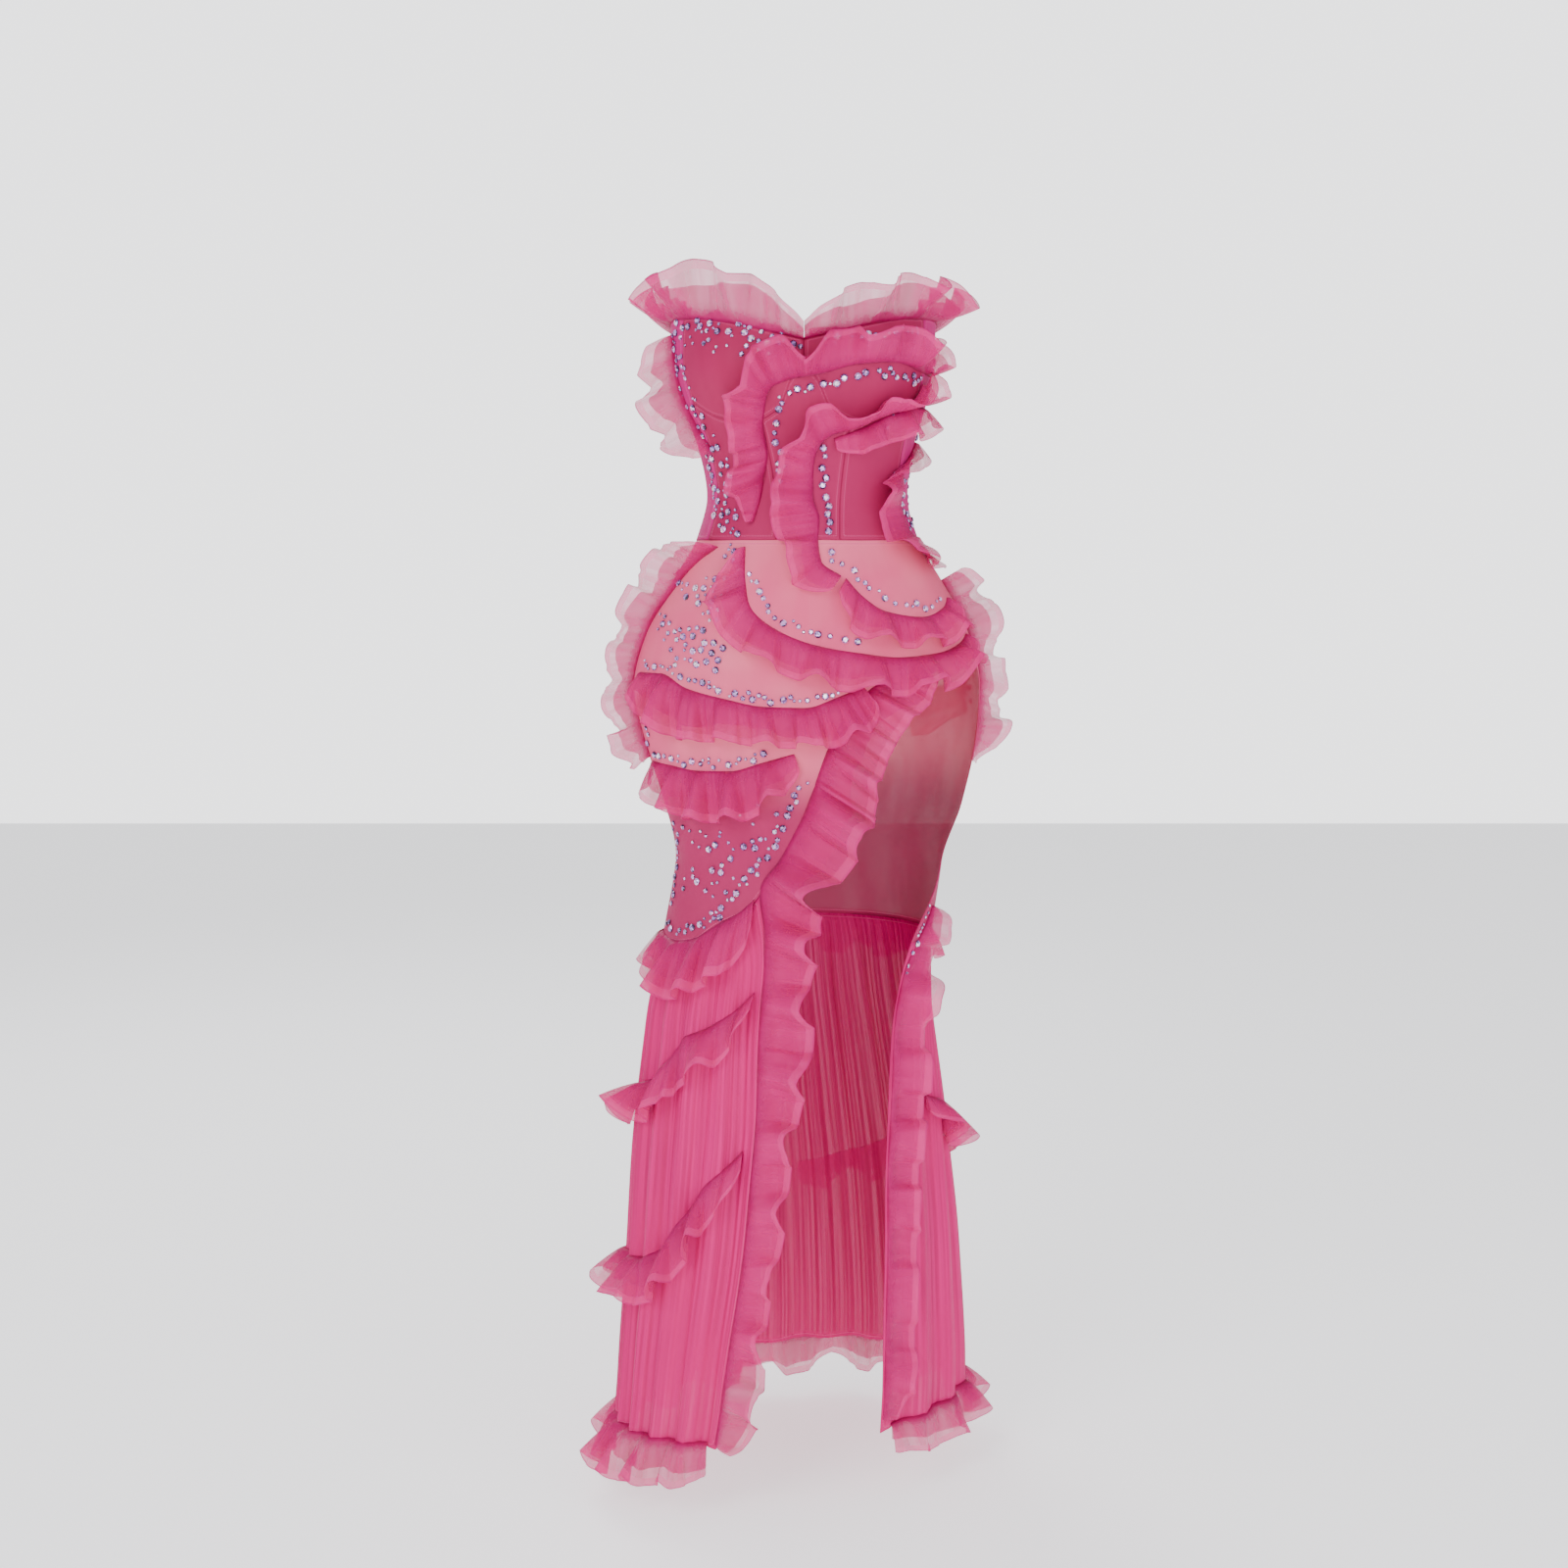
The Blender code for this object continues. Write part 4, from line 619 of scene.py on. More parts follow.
# Each row of a ruffle gives a place on the sewn root, the free edge across from it, and how far in mm that
# edge stands out: root angle, root height, free angle, free height, stand. swing and rise are in degrees and
# lift is in mm. taper is the share of the width that is left at the first and the last end.
ruffles = dict(
    ruffle_neckline_right=dict(waves=7, swing=16, lift=1.1, taper=(1, 1),
        on=["bodice_cup_right", "bodice_side_right", "bodice_back_right"], rows=[
        (-0.15, 0.167, -0.15, 0.184, 10), (-14, 0.176, -14, 0.226, 14), (-30, 0.186, -30, 0.25, 18),
        (-50, 0.193, -52, 0.258, 24), (-72, 0.195, -76, 0.236, 38), (-95, 0.19, -98, 0.228, 36),
        (-125, 0.173, -126, 0.222, 26), (-150, 0.158, -150, 0.208, 20), (-178, 0.147, -177, 0.196, 16),
    ]),
    ruffle_neckline_left=dict(waves=7, swing=16, lift=1.1, taper=(1, 1),
        on=["bodice_cup_left", "bodice_side_left", "bodice_back_left"], rows=[
        (0.15, 0.167, 0.15, 0.184, 10), (14, 0.176, 15, 0.22, 16), (30, 0.186, 31, 0.232, 20),
        (50, 0.193, 52, 0.24, 24), (72, 0.195, 76, 0.228, 38), (95, 0.19, 98, 0.228, 36),
        (125, 0.173, 126, 0.222, 26), (150, 0.158, 150, 0.208, 20), (178, 0.147, 177, 0.196, 16),
    ]),
    ruffle_side_right=dict(waves=3, swing=12, lift=1.1, rise=18, on=["bodice_side_right"], rows=[
        (-76, 0.18, -96, 0.158, 30), (-74, 0.145, -98, 0.128, 42), (-72, 0.11, -97, 0.088, 40),
        (-68, 0.076, -92, 0.052, 38), (-60, 0.05, -76, 0.02, 22),
    ]),
    ruffle_bust=dict(waves=7, swing=24, lift=1.1, rise=-10,
        on=["bodice_cup_left", "bodice_front_right"], rows=[
        (74, 0.132, 82, 0.158, 32), (56, 0.136, 60, 0.164, 31), (38, 0.143, 40, 0.17, 29),
        (22, 0.14, 24, 0.166, 29), (8, 0.13, 10, 0.162, 31), (-5, 0.124, -8, 0.16, 31),
        (-14, 0.114, -22, 0.144, 30), (-18, 0.094, -33, 0.108, 26), (-21, 0.068, -36, 0.07, 26),
        (-21, 0.044, -39, 0.038, 26), (-25, 0.012, -43, 0.002, 22), (-30, -0.032, -37, -0.036, 9),
    ]),
    ruffle_centre=dict(waves=6, swing=18, lift=1.1, rise=-14,
        on=["bodice_front_left", "bodice_front_centre", "skirt_front"], rows=[
        (76, 0.1, 84, 0.128, 34), (58, 0.098, 64, 0.126, 31), (42, 0.088, 44, 0.108, 26),
        (26, 0.072, 26, 0.092, 26), (12, 0.062, 6, 0.09, 30), (5, 0.044, -8, 0.062, 30),
        (3, 0.02, -12, 0.028, 29), (3, -0.004, -18, -0.006, 29), (6, -0.028, -16, -0.034, 27),
        (5, -0.054, -9, -0.062, 27), (6, -0.076, -6, -0.098, 26), (14, -0.092, 4, -0.124, 22),
    ]),
    ruffle_centre_under=dict(waves=3, swing=18, lift=1.1, on=["bodice_front_left"], rows=[
        (78, 0.098, 84, 0.07, 30), (58, 0.096, 60, 0.07, 20), (42, 0.086, 44, 0.06, 13),
        (26, 0.07, 28, 0.044, 11), (14, 0.06, 16, 0.036, 10),
    ]),
    ruffle_hip_front=dict(waves=4, swing=24, lift=0.35, on=["skirt_front"], rows=[
        (16, -0.095, 6, -0.129, 13), (22, -0.116, 16, -0.156, 13), (30, -0.132, 28, -0.172, 13),
        (46, -0.139, 46, -0.174, 14), (62, -0.13, 64, -0.164, 18), (73, -0.118, 76, -0.15, 22),
    ]),
    ruffle_waist_left=dict(waves=3, swing=13, lift=1.1, on=["bodice_side_left", "skirt_front"], rows=[
        (86, 0.06, 76, 0.026, 28), (76, 0.046, 54, 0.024, 18), (67, 0.028, 42, 0.012, 13),
        (64, 0.005, 35, -0.003, 12), (65, -0.018, 31, -0.026, 12), (68, -0.036, 34, -0.05, 13),
        (72, -0.052, 44, -0.07, 15), (78, -0.064, 58, -0.09, 20), (86, -0.074, 76, -0.102, 32),
    ]),
    ruffle_hip_right=dict(waves=6, swing=15, lift=1.1, rise=22, on=["skirt_front"], rows=[
        (-50, -0.06, -66, -0.056, 22), (-60, -0.076, -84, -0.074, 38), (-70, -0.106, -95, -0.112, 40),
        (-76, -0.142, -99, -0.152, 36), (-79, -0.182, -100, -0.196, 30), (-81, -0.226, -101, -0.24, 30),
        (-83, -0.268, -100, -0.288, 32), (-80, -0.304, -87, -0.344, 32),
    ]),
    ruffle_hip_left=dict(waves=4, swing=14, lift=-0.25, rise=16, on=["skirt_back_left"], rows=[
        (84, -0.098, 97, -0.096, 52), (85, -0.13, 100, -0.134, 44), (86, -0.17, 102, -0.18, 34),
        (90, -0.215, 104, -0.23, 32), (95, -0.262, 108, -0.276, 42), (98, -0.31, 110, -0.326, 26),
    ]),
    ruffle_tier_1=dict(waves=7, swing=22, lift=0.4, on=["skirt_front"], rows=[
        (-32, -0.06, -38, -0.066, 7), (-27, -0.096, -42, -0.118, 13), (-22, -0.126, -28, -0.164, 13),
        (-12, -0.15, -14, -0.19, 13), (2, -0.169, 1, -0.21, 14), (16, -0.178, 14, -0.219, 14),
        (32, -0.184, 31, -0.222, 24), (50, -0.18, 50, -0.214, 28), (66, -0.17, 66, -0.2, 26),
        (76, -0.16, 78, -0.188, 24),
    ]),
    ruffle_tier_2=dict(waves=7, swing=18, lift=0.45, on=["skirt_front"], rows=[
        (-72, -0.204, -72, -0.244, 18), (-56, -0.204, -60, -0.258, 15), (-42, -0.22, -44, -0.278, 14),
        (-27, -0.231, -28, -0.28, 14), (-14, -0.239, -14, -0.286, 14), (-1, -0.24, 0, -0.286, 15),
        (9, -0.229, 13, -0.276, 27), (18, -0.216, 26, -0.258, 30),
    ]),
    ruffle_tier_3=dict(waves=5, swing=22, lift=0.4, on=["skirt_front"], rows=[
        (-78, -0.308, -83, -0.352, 29), (-60, -0.31, -64, -0.358, 16), (-44, -0.314, -47, -0.368, 14),
        (-30, -0.313, -31, -0.368, 14), (-18, -0.303, -18, -0.354, 14), (-6, -0.292, -3, -0.326, 14),
    ]),
    ruffle_slit_upper=dict(waves=4, swing=20, lift=0.4, taper=(0.5, 1), on=["skirt_front"], rows=[
        (38, -0.193, 50, -0.218, 10), (27, -0.206, 43, -0.236, 10), (18, -0.226, 33, -0.262, 11),
        (11, -0.252, 27, -0.292, 13), (5, -0.288, 23, -0.33, 14), (0.3, -0.3265, 21.3, -0.3685, 14),
    ]),
    ruffle_slit_front=dict(waves=10, swing=29, lift=1.5, taper=(1, 0.6), on=["skirt_lower_front"], rows=[
        (0.6, -0.3255, 21.6, -0.3675, 13), (-6, -0.372, 18, -0.412, 15), (-13, -0.412, 11, -0.448, 16),
        (-20, -0.446, 8, -0.482, 16), (-15, -0.5, 10, -0.516, 15), (-13, -0.55, 6, -0.556, 14),
        (-12.6, -0.6, 8, -0.604, 14), (-12.6, -0.65, 5, -0.66, 13), (-12.8, -0.7, 1, -0.706, 12),
        (-14.4, -0.77, -2, -0.772, 11), (-16.2, -0.83, -4, -0.834, 11), (-18.4, -0.89, -8, -0.896, 11),
        (-21.2, -0.96, -10, -0.972, 12), (-23.4, -1.02, -10, -1.034, 13), (-25.2, -1.078, -15, -1.1, 14),
    ]),
    ruffle_slit_back=dict(waves=7, swing=24, lift=0.6, on=["skirt_lower_back"], rows=[
        (74, -0.478, 92, -0.494, 13), (60, -0.52, 80, -0.53, 14), (50, -0.556, 68, -0.566, 13),
        (45, -0.605, 62, -0.612, 12), (40, -0.69, 55, -0.698, 11), (35, -0.79, 48, -0.8, 10),
        (32, -0.9, 44, -0.91, 10), (30, -1, 42, -1.012, 11), (29, -1.072, 42, -1.088, 13),
    ]),
    ruffle_skirt_1=dict(waves=4, swing=18, lift=0.9, on=["skirt_front"], rows=[
        (-86, -0.51, -86, -0.566, 14), (-66, -0.514, -66, -0.584, 12), (-50, -0.508, -50, -0.578, 12),
        (-37, -0.488, -37, -0.56, 12), (-27, -0.472, -26, -0.546, 12), (-22, -0.458, -17, -0.533, 12),
    ]),
    ruffle_skirt_2=dict(waves=5, swing=26, lift=1.3, on=["skirt_lower_front"], rows=[
        (-16, -0.562, -17, -0.608, 10), (-25, -0.588, -26, -0.64, 11), (-37, -0.608, -35, -0.658, 12),
        (-48, -0.622, -46, -0.68, 12), (-57, -0.654, -56, -0.712, 14), (-72, -0.68, -74, -0.728, 22),
        (-90, -0.694, -94, -0.738, 26), (-112, -0.702, -114, -0.75, 20),
    ]),
    ruffle_skirt_3=dict(waves=5, swing=26, lift=1.8, on=["skirt_lower_front"], rows=[
        (-18, -0.743, -19, -0.791, 10), (-26, -0.768, -28, -0.822, 11), (-34, -0.79, -34, -0.846, 12),
        (-42, -0.824, -41, -0.88, 12), (-52, -0.86, -51, -0.918, 13), (-68, -0.882, -70, -0.934, 18),
        (-88, -0.886, -92, -0.936, 24), (-110, -0.89, -112, -0.94, 18),
    ]),
    ruffle_back_hip=dict(waves=5, swing=18, lift=0.9, on=["skirt_back_left", "skirt_back_right"], rows=[
        (110, -0.218, 116, -0.268, 18), (135, -0.232, 137, -0.284, 15), (165, -0.244, 165, -0.296, 14),
        (195, -0.25, 195, -0.302, 14), (225, -0.252, 224, -0.302, 15), (252, -0.25, 249, -0.298, 18),
    ]),
    ruffle_back_knee=dict(waves=7, swing=18, lift=1.1, taper=(0.8, 0.8),
        on=["skirt_back_left", "skirt_back_right"], rows=[
        (98, -0.508, 98, -0.56, 14), (120, -0.51, 120, -0.564, 13), (150, -0.511, 150, -0.566, 12),
        (180, -0.511, 180, -0.566, 12), (215, -0.511, 215, -0.566, 12), (245, -0.511, 245, -0.566, 13),
        (269, -0.51, 269, -0.564, 14),
    ]),
    ruffle_back_left=dict(waves=5, swing=22, lift=1.7, on=["skirt_lower_back"], rows=[
        (62, -0.7, 62, -0.752, 16), (82, -0.722, 84, -0.778, 24), (105, -0.75, 106, -0.804, 20),
        (130, -0.79, 131, -0.842, 15), (155, -0.826, 156, -0.88, 14), (178, -0.846, 179, -0.9, 14),
    ]),
    ruffle_hem_front=dict(waves=5, swing=18, lift=1.4, taper=(0.7, 0.9), on=["skirt_lower_front"], rows=[
        (-29, -1.079, -28, -1.126, 14), (-45, -1.079, -45, -1.13, 18), (-65, -1.08, -66, -1.134, 24),
        (-89.9, -1.081, -89.9, -1.138, 30),
    ]),
    ruffle_hem_back=dict(waves=11, swing=18, lift=1.6, taper=(0.7, 0.9), on=["skirt_lower_back"], rows=[
        (33, -1.083, 32, -1.126, 14), (70, -1.083, 70, -1.126, 18), (100, -1.083, 100, -1.13, 20),
        (140, -1.083, 140, -1.136, 18), (180, -1.083, 180, -1.14, 18), (220, -1.083, 220, -1.14, 20),
        (269.8, -1.083, 269.8, -1.138, 28),
    ]),
)


def ruffleShape(cut, seed, under=False):
    # A gathered strip of even width, from its sewn root to its free edge. Its slope off the body swings with
    # each wave and has crisp pleats in it, it bows over as it goes out, its edge snakes along the strip, its
    # ends draw in and its root is crimped and sewn down. The under layer is shorter and lies below the first.
    style, layer, waves = ruffleStyle, ruffleStyle["under"], cut["waves"]
    perWave, across = (layer["perWave"], layer["across"]) if under else (style["perWave"], style["across"])
    rows = np.array(cut["rows"], float)
    metric = np.array([math.radians(style["radius"]), 1])
    steps = np.linalg.norm(np.diff((rows[:, :2] + rows[:, 2:4]) / 2 * metric, axis=0), axis=1)
    table = np.column_stack([np.concatenate([[0], np.cumsum(steps)]) / steps.sum(), rows])
    along, reach = np.meshgrid(np.linspace(0, 1, waves * perWave + 1), np.linspace(0, 1, across))
    wander = ripple(along * waves * 0.9, 0 * along, seed)
    uneven = 1 + style["uneven"] * ripple(along * waves * 1.3, 0 * along, seed + 1)
    phase = turn * (waves * along + style["wander"] * wander)
    inside = np.clip(np.minimum(along, 1 - along) * waves * 2, 0, 1)
    lean = style["lean"] * np.cos(phase) + style["snake"] * np.sin(2 * phase) * uneven
    place = np.clip(along - reach**1.2 * lean * inside / waves, 0, 1)
    rootAngle, rootHeight, freeAngle, freeHeight, stand = (throughKnots(place, table, k) for k in range(1, 6))
    lying = np.hypot((freeAngle - rootAngle) * metric[0], freeHeight - rootHeight)
    startTaper, endTaper = cut.get("taper", style["usualTaper"])
    opening = startTaper + (1 - startTaper) * np.clip(along * waves / style["taperReach"], 0, 1) ** 0.6
    closing = endTaper + (1 - endTaper) * np.clip((1 - along) * waves / style["taperReach"], 0, 1) ** 0.6
    ends = np.minimum(opening, closing)
    width = np.hypot(lying, stand * mm) * ends * (1 + 0.05 * ripple(along * waves * 0.7, 0 * along, seed + 2))
    swing = np.sin(phase) * uneven + style["second"] * np.sin(2 * phase + 2.5 * wander) * reach
    creased = 1.6 * ripple(along * waves * 2.3, 0 * along, seed + 4)
    pleat = 2 / math.pi * np.arcsin(np.sin(phase * style["pleats"] + creased))
    swing = cut["swing"] * swing + style["pleatSwing"] * pleat * (1 - 0.4 * reach)
    swing = swing + style["bow"] * (1 - 2 * reach)
    slope = np.arctan2(stand * mm, lying)
    raised = np.clip(slope + math.radians(cut.get("rise", 0)), *map(math.radians, style["raisedRange"]))
    width = width * np.minimum(np.sin(slope) / np.sin(raised), 1)  # a steeper ruffle reaches out no further
    slope = np.clip(raised + np.radians(swing), *map(math.radians, style["slopeRange"]))
    if under:
        loose = 0.5 + 0.5 * ripple(along * waves * 2.1, 0 * along, seed + 5)
        slope = slope - np.radians(layer["lower"] + layer["more"] * loose)
        slope = np.maximum(slope, math.radians(style["leastSlope"]))
        width = width * layer["width"] * (1 + 0.22 * ripple(along * waves * 1.7, 0 * along, seed + 6))
    middle = lambda values: np.concatenate([0 * values[:1], (values[1:] + values[:-1]) / 2])
    step = width / (across - 1)
    span = np.cumsum(middle(np.cos(slope)) * step, axis=0) / lying
    out = np.cumsum(middle(np.sin(slope)) * step, axis=0)
    shaken = 2.2 * ripple(along * waves * 3.1, 0 * along, seed + 3)
    crimps = 0.5 + 0.5 * np.sin(phase * style["crimps"] + shaken)
    crimps = style["crimp"] * crimps * (1 - reach) ** 2 * np.clip(reach * 10, 0, 1)
    sewn = np.clip(reach / style["sewnIn"], 0, 1) ** 0.7
    sunk = layer["sunk"] if under else style["sunk"]
    out = (cut["lift"] * mm + style["clear"] + crimps) * sewn + out - sunk * (1 - sewn)
    out = out - (layer["below"] * sewn if under else 0)
    angle = rootAngle + (freeAngle - rootAngle) * span
    height = rootHeight + (freeHeight - rootHeight) * span
    return offBody(angle, height, out, folded=False), reach


def makeRuffles():
    for number, (node, cut) in enumerate(ruffles.items()):
        points, reach = ruffleShape(cut, 200 + 7 * number)
        piece = layCloth("cloth_" + node, points, "organza", ruffleStyle["wall"], {"reach": reach})
        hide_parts(node)
        points, reach = ruffleShape(cut, 200 + 7 * number, under=True)
        marks = {"reach": reach * ruffleStyle["under"]["reach"]}  # it ends before the first layer's hem tones
        second = layCloth("under_" + node, points, "organza", ruffleStyle["wall"], marks)
    print("ruffles made")


makeRuffles()


# The stones and the zip


def stoneShape():
    # a flat-backed cut stone of radius 1: eight sides up to the girdle, a crown turned by half a side, and a
    # flat table
    k = np.arange(8)
    around = k * turn / 8

    def ring(radius, height, shift):
        x, y = radius * np.cos(around + shift), radius * np.sin(around + shift)
        return np.stack([x, y, height + 0 * around], axis=1)

    points = np.concatenate([ring(0.9, 0.0, 0), ring(1.0, 0.25, 0), ring(0.58, 0.62, turn / 16)])
    after = (k + 1) % 8
    walls = np.stack([k, after, after + 8], axis=1), np.stack([k, after + 8, k + 8], axis=1)
    crown = np.stack([k + 8, after + 8, k + 16], axis=1), np.stack([after + 8, after + 16, k + 16], axis=1)
    fan = np.stack([np.full(6, 16), np.arange(17, 23), np.arange(18, 24)], axis=1)
    base = np.stack([np.full(6, 0), np.arange(2, 8), np.arange(1, 7)], axis=1)
    return points, np.concatenate([*walls, *crown, fan, base])


# the range of painted glints on the walls, the crown's facets, the table and the back, in the order of the
# faces
facetPaintedGlints = np.repeat([(0.0, 0.3), (0.05, 0.85), (0.45, 1.0), (0.0, 0.1)], (16, 16, 6, 6), axis=0)
stoneSizes = dict(small=2.0 * mm, medium=3.1 * mm, large=4.3 * mm)  # radii
stoneGap, stoneSunk = 0.25 * mm, 0.35 * mm  # the least gap between two, and how deep each sits in the cloth
straySpread, strayLimit = 0.65, 1.2  # the usual and the greatest stray, as parts of a run's own
# the small stones give up what the large ones take, which is this part of a run's own share
sizeShares = dict(small=0.62, medium=0.38, large=0.6)
moreStones = 1.4  # how many times the counts below
stoneRuns = dict(
    # each run: how many stones, how far in mm they stray from its line, the share of large ones, and the
    # line's angles and heights
    stones_bodice=[
        dict(count=52, stray=6, large=0.5, line=[
            (-69, 0.190), (-48, 0.184), (-32, 0.180), (-18, 0.173), (-8, 0.166), (-1, 0.160),
        ]),
        dict(count=16, stray=7, large=0.2, line=[(-66, 0.174), (-42, 0.166), (-24, 0.160), (-10, 0.152)]),
        dict(count=26, stray=5, large=0.3, line=[(8, 0.164), (26, 0.170), (38, 0.176), (58, 0.182)]),
        dict(count=84, stray=7, large=0.35, line=[
            (-75, 0.182), (-72, 0.148), (-77, 0.116), (-73, 0.088), (-67, 0.065), (-66, 0.038), (-67, 0.010),
            (-58, -0.018), (-50, -0.040),
        ]),
        dict(count=22, stray=8, large=0.3, line=[
            (-66, 0.160), (-60, 0.128), (-62, 0.100), (-56, 0.076), (-54, 0.050), (-52, 0.020),
        ]),
        dict(count=34, stray=9, large=0.3, line=[(-52, 0.037), (-52, 0.004), (-46, -0.029), (-40, -0.046)]),
        dict(count=62, stray=4, large=0.6, line=[
            (60, 0.125), (36, 0.133), (23, 0.130), (9, 0.119), (0, 0.115), (-8, 0.108), (-12, 0.090),
            (-15, 0.066), (-14, 0.040), (-16, 0.012),
        ]),
        dict(count=24, stray=3.5, large=0.6, line=[
            (10, 0.052), (9, 0.036), (9, 0.010), (10, -0.012), (12, -0.030), (11, -0.047),
        ]),
        dict(count=30, stray=8, large=0.3, line=[
            (58, 0.030), (72, 0.010), (60, -0.012), (74, -0.030), (66, -0.044),
        ]),
        dict(count=9, stray=5, large=0.2, line=[(66, 0.090), (50, 0.082), (36, 0.074)]),
    ],
    stones_hips=[
        dict(count=18, stray=7, large=0.3, line=[(-42, -0.060), (-34, -0.076), (-30, -0.092)]),
        dict(count=34, stray=9, large=0.4, line=[
            (-77, -0.096), (-56, -0.112), (-42, -0.124), (-36, -0.139), (-38, -0.106), (-50, -0.100),
        ]),
        dict(count=46, stray=10, large=0.5, line=[
            (-68, -0.140), (-56, -0.160), (-42, -0.178), (-30, -0.194), (-34, -0.170), (-50, -0.150),
        ]),
        dict(count=30, stray=3.5, large=0.5, line=[
            (-26, -0.088), (-20, -0.108), (-15, -0.128), (-6, -0.146), (6, -0.160), (20, -0.168),
        ]),
        dict(count=44, stray=4, large=0.5, line=[
            (-70, -0.194), (-52, -0.196), (-40, -0.210), (-27, -0.223),
            (-14, -0.231), (-1, -0.232), (9, -0.224),
        ]),
        dict(count=22, stray=3, large=0.2, line=[
            (11, -0.062), (12, -0.078), (19, -0.086), (24, -0.104), (34, -0.122), (50, -0.128), (64, -0.120),
        ]),
        dict(count=30, stray=4, large=0.4, line=[
            (-74, -0.298), (-58, -0.301), (-42, -0.305), (-28, -0.303), (-16, -0.293),
        ]),
        dict(count=7, stray=4, large=0.3, line=[(-72, -0.262), (-76, -0.290)]),
    ],
    stones_skirt=[
        dict(count=46, stray=4, large=0.5, line=[
            (-4, -0.324), (-8, -0.352), (-12, -0.376), (-16, -0.398),
            (-22, -0.420), (-27, -0.440), (-34, -0.462), (-40, -0.478),
        ]),
        dict(count=34, stray=5, large=0.4, line=[
            (-80, -0.497), (-66, -0.503), (-54, -0.499), (-44, -0.486), (-36, -0.474),
        ]),
        dict(count=16, stray=12, large=0.3, line=[
            (-67, -0.389), (-47, -0.397), (-33, -0.407), (-22, -0.393), (-16, -0.371),
        ]),
        dict(count=14, stray=14, large=0.3, line=[(-60, -0.447), (-44, -0.440), (-36, -0.432)]),
        dict(count=20, stray=5, large=0.35, line=[(-76, -0.380), (-78, -0.430), (-76, -0.480)]),
        dict(count=5, stray=9, large=0.2, line=[(-30, -0.345), (-24, -0.365)]),
    ],
    stones_left=[
        dict(count=34, stray=8, large=0.3, line=[
            (92, 0.175), (90, 0.140), (94, 0.100), (92, 0.060), (96, 0.020), (94, -0.030),
        ]),
        dict(count=16, stray=3, large=0.2, line=[
            (70, -0.470), (63, -0.504), (57, -0.530), (54, -0.552), (50, -0.590),
        ]),
        dict(count=14, stray=8, large=0.3, line=[(100, -0.150), (104, -0.190), (110, -0.240)]),
    ],
)


def scatterStones(runs, seed):
    # stones fall at even steps along each line and stray from it; one that would lie on another is left out
    draw = np.random.default_rng(seed)
    kept = []
    for run in runs:
        count = round(run["count"] * moreStones)
        line = np.array(run["line"], float)
        steps = np.linalg.norm(np.diff(bodyPoint(line[:, 0], line[:, 1]), axis=0), axis=1)
        knots = np.concatenate([[0], np.cumsum(steps)]) / steps.sum()
        share = np.clip((np.arange(count) + draw.uniform(0.1, 0.9, count)) / count, 0, 1)
        angle, height = np.interp(share, knots, line[:, 0]), np.interp(share, knots, line[:, 1])
        stray = draw.normal(0, straySpread, (count, 2)).clip(-strayLimit, strayLimit) * run["stray"] * mm
        large = sizeShares["large"] * run["large"]
        size = draw.choice(3, count, p=[sizeShares["small"] - large, sizeShares["medium"], large])
        angle = angle + seamAngle(stray[:, 0], height)
        kept.append(np.column_stack([angle, height + stray[:, 1], size]))
    kept = np.concatenate(kept)
    radius = np.array(list(stoneSizes.values()))[kept[:, 2].astype(int)]
    centres = bodyPoint(kept[:, 0], kept[:, 1])
    order = np.argsort(-radius, kind="stable")
    chosen = []
    for k in order:
        near = np.linalg.norm(centres[chosen] - centres[k], axis=1) if chosen else None
        if near is None or (near > radius[chosen] + radius[k] + stoneGap).all():
            chosen.append(k)
    return kept[chosen, 0], kept[chosen, 1], radius[chosen]


def makeStones():
    shape, faces = stoneShape()
    for number, (name, runs) in enumerate(stoneRuns.items()):
        angle, height, radius = scatterStones(runs, 900 + number)
        draw = np.random.default_rng(950 + number)
        out = bodyNormal(angle, height)
        side = np.cross(np.array([0.0, 0.0, 1.0]), out)
        side /= np.linalg.norm(side, axis=1, keepdims=True)
        up = np.cross(out, side)
        spin = draw.uniform(0, turn, len(angle))[:, None]
        first = side * np.cos(spin) + up * np.sin(spin)
        second = np.cross(out, first)
        frames = np.stack([first, second, out], axis=2) * radius[:, None, None]
        centres = offBody(angle, height, np.full(len(angle), -stoneSunk))
        points = np.einsum("nij,kj->nki", frames, shape) + centres[:, None, :]
        everyFace = faces[None] + (np.arange(len(angle)) * len(shape))[:, None, None]
        mesh = bpy.data.meshes.new(name)
        mesh.from_pydata(points.reshape(-1, 3).tolist(), [], everyFace.reshape(-1, 3).tolist())
        # each facet's painted glint: dark painted reflections on the walls and back, a white painted
        # highlight towards the table
        paintedGlint = mesh.attributes.new("paintedGlint", "FLOAT", "FACE")
        own = draw.uniform(-0.2, 0.15, (len(angle), 1))
        low, high = facetPaintedGlints.T[:, None, :]
        facets = np.clip(draw.uniform(low, high, (len(angle), len(faces))) + own, 0, 1)
        paintedGlint.data.foreach_set("value", facets.astype(np.float32).ravel())
        mesh.materials.append(finishes["stone"])
        piece = bpy.data.objects.new(name, mesh)
        bpy.context.collection.objects.link(piece)
        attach(piece, "root")
        print(name, len(angle), "stones")


backZip = dict(
    top=0.140, foot=-0.120, wall=0.7 * mm, halfGap=0.25 * mm, rows=120, columns=9,
    tapeWidth=7.3 * mm, tapeLift=1.2 * mm, tapeDrop=1.9 * mm, cord=0.12 * mm, cordWidth=1.5 * mm,
    closedTo=0.116, toothFoot=-0.116, toothPitch=2.1 * mm, toothSize=(1.9 * mm, 1.3 * mm, 1.0 * mm),
    toothLift=1.9 * mm, toothAside=0.45 * mm, narrowed=0.75,
)


